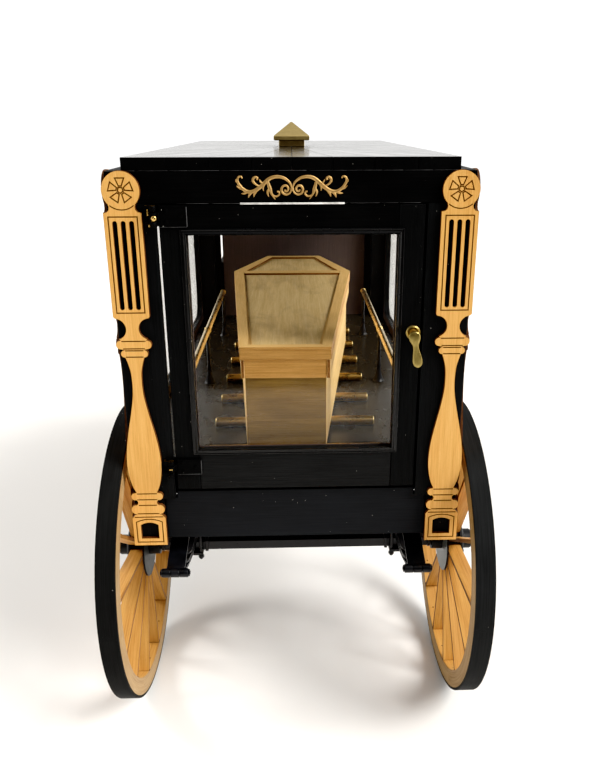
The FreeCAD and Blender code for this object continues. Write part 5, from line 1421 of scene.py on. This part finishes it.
# ================================================================ driver's box
def build_box():
    p = Piece("boot_boards", "carriage", SATIN, IRON)
    L = BODY_L
    p.add(box(-46.8, 46.8, L + 0.2, 288.0, 99.0, 128.0, 0.3), along="x")
    p.add(box(-44.8, 44.8, L + 0.2, 300.0, 96.0, 98.98, 0.3), along="x")
    p.add(box(-14.0, 14.0, 266.0, 294.0, 90.0, 95.98, 0.4), along="y")
    # raised fields on the boot's sides and front
    for s in (-1, 1):
        a, b = sorted((s * 46.78, s * 47.15))
        p.add(box(a, b, L + 5.0, 283.0, 103.0, 124.0, 0.15), along="y")
    p.add(box(-41.0, 41.0, 287.98, 288.4, 110.5, 124.5, 0.15), along="x")
    for s in (-1, 1):
        x0, x1 = sorted((s * 28.0, s * 31.0))
        p.add(prism([(288.1, 99.2), (292.0, 99.2), (309.0, 104.9), (327.0, 117.4), (327.0, 120.1), (306.2, 105.8), (288.1, 105.8)], "yz",
                    x0, x1, 0.25), 1, along="y")
    p.done("black_satin", ["boot"])

    f = Piece("foot_board", "carriage", SATIN, IRON)
    rows = 4
    f.add(prism([(288.1, 106.0), (306.0, 106.0), (332.0, 124.0), (332.0, 126.9), (305.0, 108.6), (288.1, 108.6)], "yz", -40.0, 40.0, 0.25), along="x")
    f.add(prism([(329.6, 122.4), (332.0, 124.0), (332.0, 131.0), (329.6, 131.0)], "yz", -40.0, 40.0, 0.25), along="x")
    for i in range(6):
        y = 292.5 + i * 2.6
        f.add(box(-37.5, 37.5, y - 0.5, y + 0.5, 108.5, 109.0, 0.15), along="x")
    for i in range(6):
        y = 309.5 + i * 3.4
        z = 108.6 + (y - 305.0) * (126.9 - 108.6) / 27.0
        bar = box(-37.5, 37.5, -0.55, 0.55, -0.1, 0.42, 0.15)
        f.add(moved(bar, Matrix.Translation((0, y, z)) @ Matrix.Rotation(math.atan2(18.3, 27.0), 4, "X")), along="x")
    f.done("black_satin", ["footboard"])

    s_ = Piece("driver_seat_frame", "carriage", SATIN, IRON)
    s_.add(box(-46.8, 46.8, L + 1.6, 281.0, 128.02, 146.0, 0.3), along="x")
    s_.add(box(-48.0, 48.0, L + 1.6, 285.0, 146.0, 149.0, 0.7, 3), along="x")
    rail = spline([(L + 1.8, 149.05), (L + 1.8, 160.0), (L + 1.8, 169.2), (L + 3.0, 170.3), (L + 7.0, 170.2), (L + 18.0, 167.0), (262.0, 162.0),
                   (274.0, 156.0), (279.2, 151.0), (280.0, 149.05)], 3)
    pts = [(q.x, q.y) for q in rail]
    for a, b in ((-44.4, -42.6), (42.6, 44.4)):
        s_.add(prism(pts, "yz", a, b, 0.3, 2, 40.0), along="y")
    s_.add(box(-42.55, 42.55, L + 1.8, L + 3.8, 149.0, 170.0, 0.35), along="x")
    # raised fields on the seat box
    s_.add(box(-42.5, 42.5, 280.98, 281.4, 131.0, 143.5, 0.15), along="x")
    for sx in (-1, 1):
        for y, z in ((L + 5.2, 155.0), (L + 5.2, 163.0), (262.0, 153.0)):
            s_.add(lathe([(0, sx * 44.2), (0.9, sx * 44.2), (0.95, sx * 44.4), (0.6, sx * 44.7), (0.0, sx * 44.75)], "x", (0, y, z), 16), 1)
    s_.done("black_satin", ["seat"])

    # buttoned cushion: crowned, sides pulled in between the corners
    cu = nb("seat_cushion")
    hx, y0, y1, z0, z1 = cu[1] - 0.3, cu[2] + 0.3, cu[3] - 0.3, cu[4] + 0.02, cu[5]
    cy, hy = (y0 + y1) / 2, (y1 - y0) / 2
    nx, ny = 120, 64
    cols, rows = 7, 3
    buttons = []
    for j in range(rows):
        m = cols if j % 2 == 0 else cols - 1
        for i in range(m):
            bx = (i - (m - 1) / 2.0) * (2 * hx * 0.82 / (cols - 1))
            by = cy + (j - 1) * hy * 0.56
            buttons.append((bx, by))
    pleats = []
    for i, a in enumerate(buttons):
        for b in buttons[i + 1:]:
            d = math.hypot(a[0] - b[0], a[1] - b[1])
            if abs(a[1] - b[1]) > 1.0 and d < 16.5:
                pleats.append((a, b))

    def outline(u, v):
        px = 0.9 * (1 - v * v) * abs(u) ** 5
        py = 0.8 * (1 - u * u) * abs(v) ** 5
        return math.copysign(max(abs(u) * hx - px, 0), u), cy + math.copysign(max(abs(v) * hy - py, 0), v)

    def crown(x, y, u, v):
        e = (1 - abs(u) ** 7) * (1 - abs(v) ** 5)
        h = 0.46 + 0.54 * max(e, 0.0) ** 0.5
        dip = 0.0
        for bx, by in buttons:
            d2 = (x - bx) ** 2 + (y - by) ** 2
            dip = max(dip, 0.62 * math.exp(-d2 / 3.4))
        for (ax, ay), (bx, by) in pleats:
            lx, ly = bx - ax, by - ay
            tt = max(0.0, min(1.0, ((x - ax) * lx + (y - ay) * ly) / (lx * lx + ly * ly)))
            d = math.hypot(x - ax - tt * lx, y - ay - tt * ly)
            dip = max(dip, 0.26 * math.exp(-(d / 0.85) ** 2))
        return z0 + (z1 - z0) * h * (1 - dip)
    bm = bmesh.new()
    top = {}
    for i in range(nx + 1):
        for j in range(ny + 1):
            u = math.sin(math.pi / 2 * (-1 + 2.0 * i / nx)) * 0.35 + (-1 + 2.0 * i / nx) * 0.65
            v = math.sin(math.pi / 2 * (-1 + 2.0 * j / ny)) * 0.35 + (-1 + 2.0 * j / ny) * 0.65
            x, y = outline(u, v)
            top[i, j] = bm.verts.new((x, y, crown(x, y, u, v)))
    for i in range(nx):
        for j in range(ny):
            bm.faces.new((top[i, j], top[i + 1, j], top[i + 1, j + 1], top[i, j + 1]))
    rim = [(i, 0) for i in range(nx)] + [(nx, j) for j in range(ny)] + [(i, ny) for i in range(nx, 0, -1)] + [(0, j) for j in range(ny, 0, -1)]
    prev = [top[k] for k in rim]
    base_pts = [v.co.copy() for v in prev]
    for lvl, (zz, bulge) in enumerate(((z0 + 1.9, 0.22), (z0 + 1.2, 0.26), (z0 + 0.5, 0.12), (z0, -0.35))):
        cur = []
        for c in base_pts:
            d = Vector((c.x / hx, (c.y - cy) / hy, 0))
            d = Vector((d.x * abs(d.x) ** 3, d.y * abs(d.y) ** 3, 0))
            d = d.normalized() if d.length > 1e-6 else d
            cur.append(bm.verts.new((c.x + d.x * bulge, c.y + d.y * bulge, zz)))
        n = len(cur)
        for k in range(n):
            bm.faces.new((prev[k], prev[(k + 1) % n], cur[(k + 1) % n], cur[k]))
        prev = cur
    bm.faces.new(prev[::-1])
    bmesh.ops.recalc_face_normals(bm, faces=bm.faces)
    c = Piece("seat_cushion_pad", "carriage", HIDE)
    c.add(bm, along="x")
    pad = c.done("black_hide", ["seat_cushion"], weighted=False, angle=80.0)
    t = Piece("cushion_piping_and_buttons", "carriage", HIDE)
    path = [(q.x, q.y, q.z - 0.28) for q in base_pts]
    t.add(sweep(path[::2], lambda i, n: circle(0.3, 8), closed=True), along="x")
    for bx, by in buttons:
        zz = z0 + (z1 - z0) * 0.42
        t.add(lathe([(0, zz - 0.6), (0.85, zz - 0.5), (1.0, zz + 0.05), (0.8, zz + 0.4), (0.45, zz + 0.55), (0, zz + 0.6)], "z", (bx, by, 0), 16))
    t.done("black_hide", weighted=False, angle=60.0)


# ================================================================ build everything
build_roof()
build_scroll()
build_balusters()
build_body()
build_cabin()
build_coffin()
build_door()
build_gear()
build_box()
for row in (("rear_left", -1, 14, 16.8, 13.5, 7), ("rear_right", 1, 14, 21.5, 13.5, 7),
            ("front_left", -1, 12, 15.0, 11.0, 6), ("front_right", 1, 12, 3.0, 11.0, 6)):
    build_wheel(*row)

# ================================================================ floor, light, camera
bm = bmesh.new()
bmesh.ops.create_grid(bm, x_segments=8, y_segments=8, size=1.6)
# the sheet of paper ends a hand's width behind the camera's view, as a table top does
edge = (Y0 - 400.0) * MM
for v in bm.verts:
    v.co.y = edge + (v.co.y + 1.6) * 0.85
me = bpy.data.meshes.new("floor")
bm.to_mesh(me)
bm.free()
floor = bpy.data.objects.new("floor", me)
scene.collection.objects.link(floor)
fm = Mat("pale_floor", Specular_IOR_Level=0.12, Roughness=0.8)
tc = fm.node("ShaderNodeTexCoord")
fm.colour(fm.ramp(fm.noise(tc.outputs["Object"], 3.0, 3.0), (0.3, lin(241, 239, 235)), (0.7, lin(245, 243, 240))))
me.materials.append(fm.m)

world = bpy.data.worlds.new("studio")
scene.world = world
world.use_nodes = True
wn = world.node_tree
wn.nodes.clear()


def wnode(kind, **kw):
    n = wn.nodes.new(kind)
    for k, v in kw.items():
        setattr(n, k, v)
    return n


def wmap(src, a, b, c, d):
    n = wnode("ShaderNodeMapRange", interpolation_type="SMOOTHSTEP")
    for i, v in enumerate((a, b, c, d)):
        n.inputs[i + 1].default_value = v
    wn.links.new(src, n.inputs[0])
    return n.outputs[0]


# a white studio behind, beside and above the object, and a dim warm room on the side it is looked at from
co = wnode("ShaderNodeTexCoord")
sep = wnode("ShaderNodeSeparateXYZ")
wn.links.new(co.outputs["Generated"], sep.inputs[0])
lum = wnode("ShaderNodeMath", operation="MAXIMUM")
wn.links.new(wmap(sep.outputs["Y"], -0.75, 0.15, 0.0, 1.0), lum.inputs[0])
wn.links.new(wmap(sep.outputs["Z"], 0.55, 0.90, 0.0, 1.0), lum.inputs[1])
rp = wnode("ShaderNodeValToRGB")
rp.color_ramp.elements[0].color = (0.20, 0.17, 0.16, 1)
rp.color_ramp.elements[1].color = (1.0, 0.995, 0.985, 1)
wn.links.new(lum.outputs[0], rp.inputs[0])
bg = wnode("ShaderNodeBackground")
bg.inputs[1].default_value = 0.57
wn.links.new(rp.outputs[0], bg.inputs[0])
# the long white walls of the studio, low down on both sides
ab = wnode("ShaderNodeMath", operation="ABSOLUTE")
wn.links.new(sep.outputs["X"], ab.inputs[0])
lowz = wmap(sep.outputs["Z"], 0.40, 0.62, 1.0, 0.0)
wall = wnode("ShaderNodeMath", operation="MULTIPLY")
back = wnode("ShaderNodeMath", operation="MAXIMUM")
wn.links.new(wmap(ab.outputs[0], 0.50, 0.80, 0.0, 1.0), back.inputs[0])
wn.links.new(wmap(sep.outputs["Y"], 0.2, 0.6, 0.0, 0.165), back.inputs[1])
wn.links.new(back.outputs[0], wall.inputs[0])
ahead = wnode("ShaderNodeMath", operation="MULTIPLY")
wn.links.new(lowz, ahead.inputs[0])
wn.links.new(wmap(sep.outputs["Y"], -0.45, -0.2, 0.0, 1.0), ahead.inputs[1])
wn.links.new(ahead.outputs[0], wall.inputs[1])
wallb = wnode("ShaderNodeBackground")
wallb.inputs[0].default_value = (1.0, 0.99, 0.97, 1)
wms = wnode("ShaderNodeMath", operation="MULTIPLY")
wms.inputs[1].default_value = 2.4
wn.links.new(wall.outputs[0], wms.inputs[0])
wn.links.new(wms.outputs[0], wallb.inputs[1])
both = wnode("ShaderNodeAddShader")
wn.links.new(bg.outputs[0], both.inputs[0])
wn.links.new(wallb.outputs[0], both.inputs[1])
paper = wnode("ShaderNodeBackground")
paper.inputs[0].default_value = (1, 1, 1, 1)
paper.inputs[1].default_value = 1.1
lp = wnode("ShaderNodeLightPath")
pick = wnode("ShaderNodeMixShader")
wn.links.new(lp.outputs["Is Camera Ray"], pick.inputs[0])
wn.links.new(both.outputs[0], pick.inputs[1])
wn.links.new(paper.outputs[0], pick.inputs[2])
wo = wnode("ShaderNodeOutputWorld")
wn.links.new(pick.outputs[0], wo.inputs[0])


def area(name, loc, target, size, power, colour=(1, 1, 1)):
    d = bpy.data.lights.new(name, "AREA")
    d.shape = "SQUARE"
    d.size = size
    d.energy = power
    d.color = colour
    o = bpy.data.objects.new(name, d)
    scene.collection.objects.link(o)
    o.location = loc
    o.rotation_mode = "QUATERNION"
    o.rotation_quaternion = (Vector(target) - Vector(loc)).to_track_quat("-Z", "Y")
    return o


def lamp(name, side, back, size, power, colour):
    """A soft square lamp 5 m away; side and back are how far it stands out for each metre of height."""
    d = Vector((side, back, 1.0)).normalized() * 5.0
    at = Vector((0, (60.0 + Y0) * MM, 0.06))
    return area(name, at + d, at, size, power, colour)


lamp("right_window", 1.0, -0.5, 2.1, 292.0, (1.0, 0.985, 0.955))
lamp("left_window", -1.3, 0.33, 1.25, 118.0, (1.0, 0.975, 0.94))

# the camera stands close behind the body, a little above the roof, looking down at it
F, CX, CY = 741.8, 317.1, 389.0
W, H = 600, 779
pitch, yaw, roll = math.radians(19.74), math.radians(1.86), math.radians(-0.08)
fwd = Vector((math.sin(yaw) * math.cos(pitch), math.cos(yaw) * math.cos(pitch), -math.sin(pitch)))
right = Vector((math.cos(yaw), -math.sin(yaw), 0))
upv = right.cross(fwd)
r2 = right * math.cos(roll) + upv * math.sin(roll)
u2 = r2.cross(fwd)
cam = bpy.data.cameras.new("camera")
cam.sensor_fit = "VERTICAL"
cam.sensor_width = 36.0
cam.sensor_height = 36.0
cam.lens = 36.0 * F / H
cam.shift_x = -(CX - W / 2.0) / H
cam.shift_y = (CY - H / 2.0) / H
cam.clip_start, cam.clip_end = 0.01, 50.0
co_ = bpy.data.objects.new("camera", cam)
scene.collection.objects.link(co_)
m3 = Matrix((r2, u2, -fwd)).transposed()
co_.matrix_world = Matrix.Translation(Vector((-0.09 * MM, (-250.58 + Y0) * MM, (TOP + 10.31) * MM))) @ m3.to_4x4()
scene.camera = co_

scene.view_settings.view_transform = "Standard"
scene.view_settings.look = "None"
scene.view_settings.exposure = 0.0
scene.view_settings.gamma = 1.0
# print-like contrast: a short toe under the darkest tones
scene.view_settings.use_curve_mapping = True
cm = scene.view_settings.curve_mapping
cv = cm.curves[3]
for px, py in ((0.008, 0.0012), (0.016, 0.0055), (0.03, 0.0175), (0.055, 0.044), (0.10, 0.097)):
    cv.points.new(px, py)
cm.update()
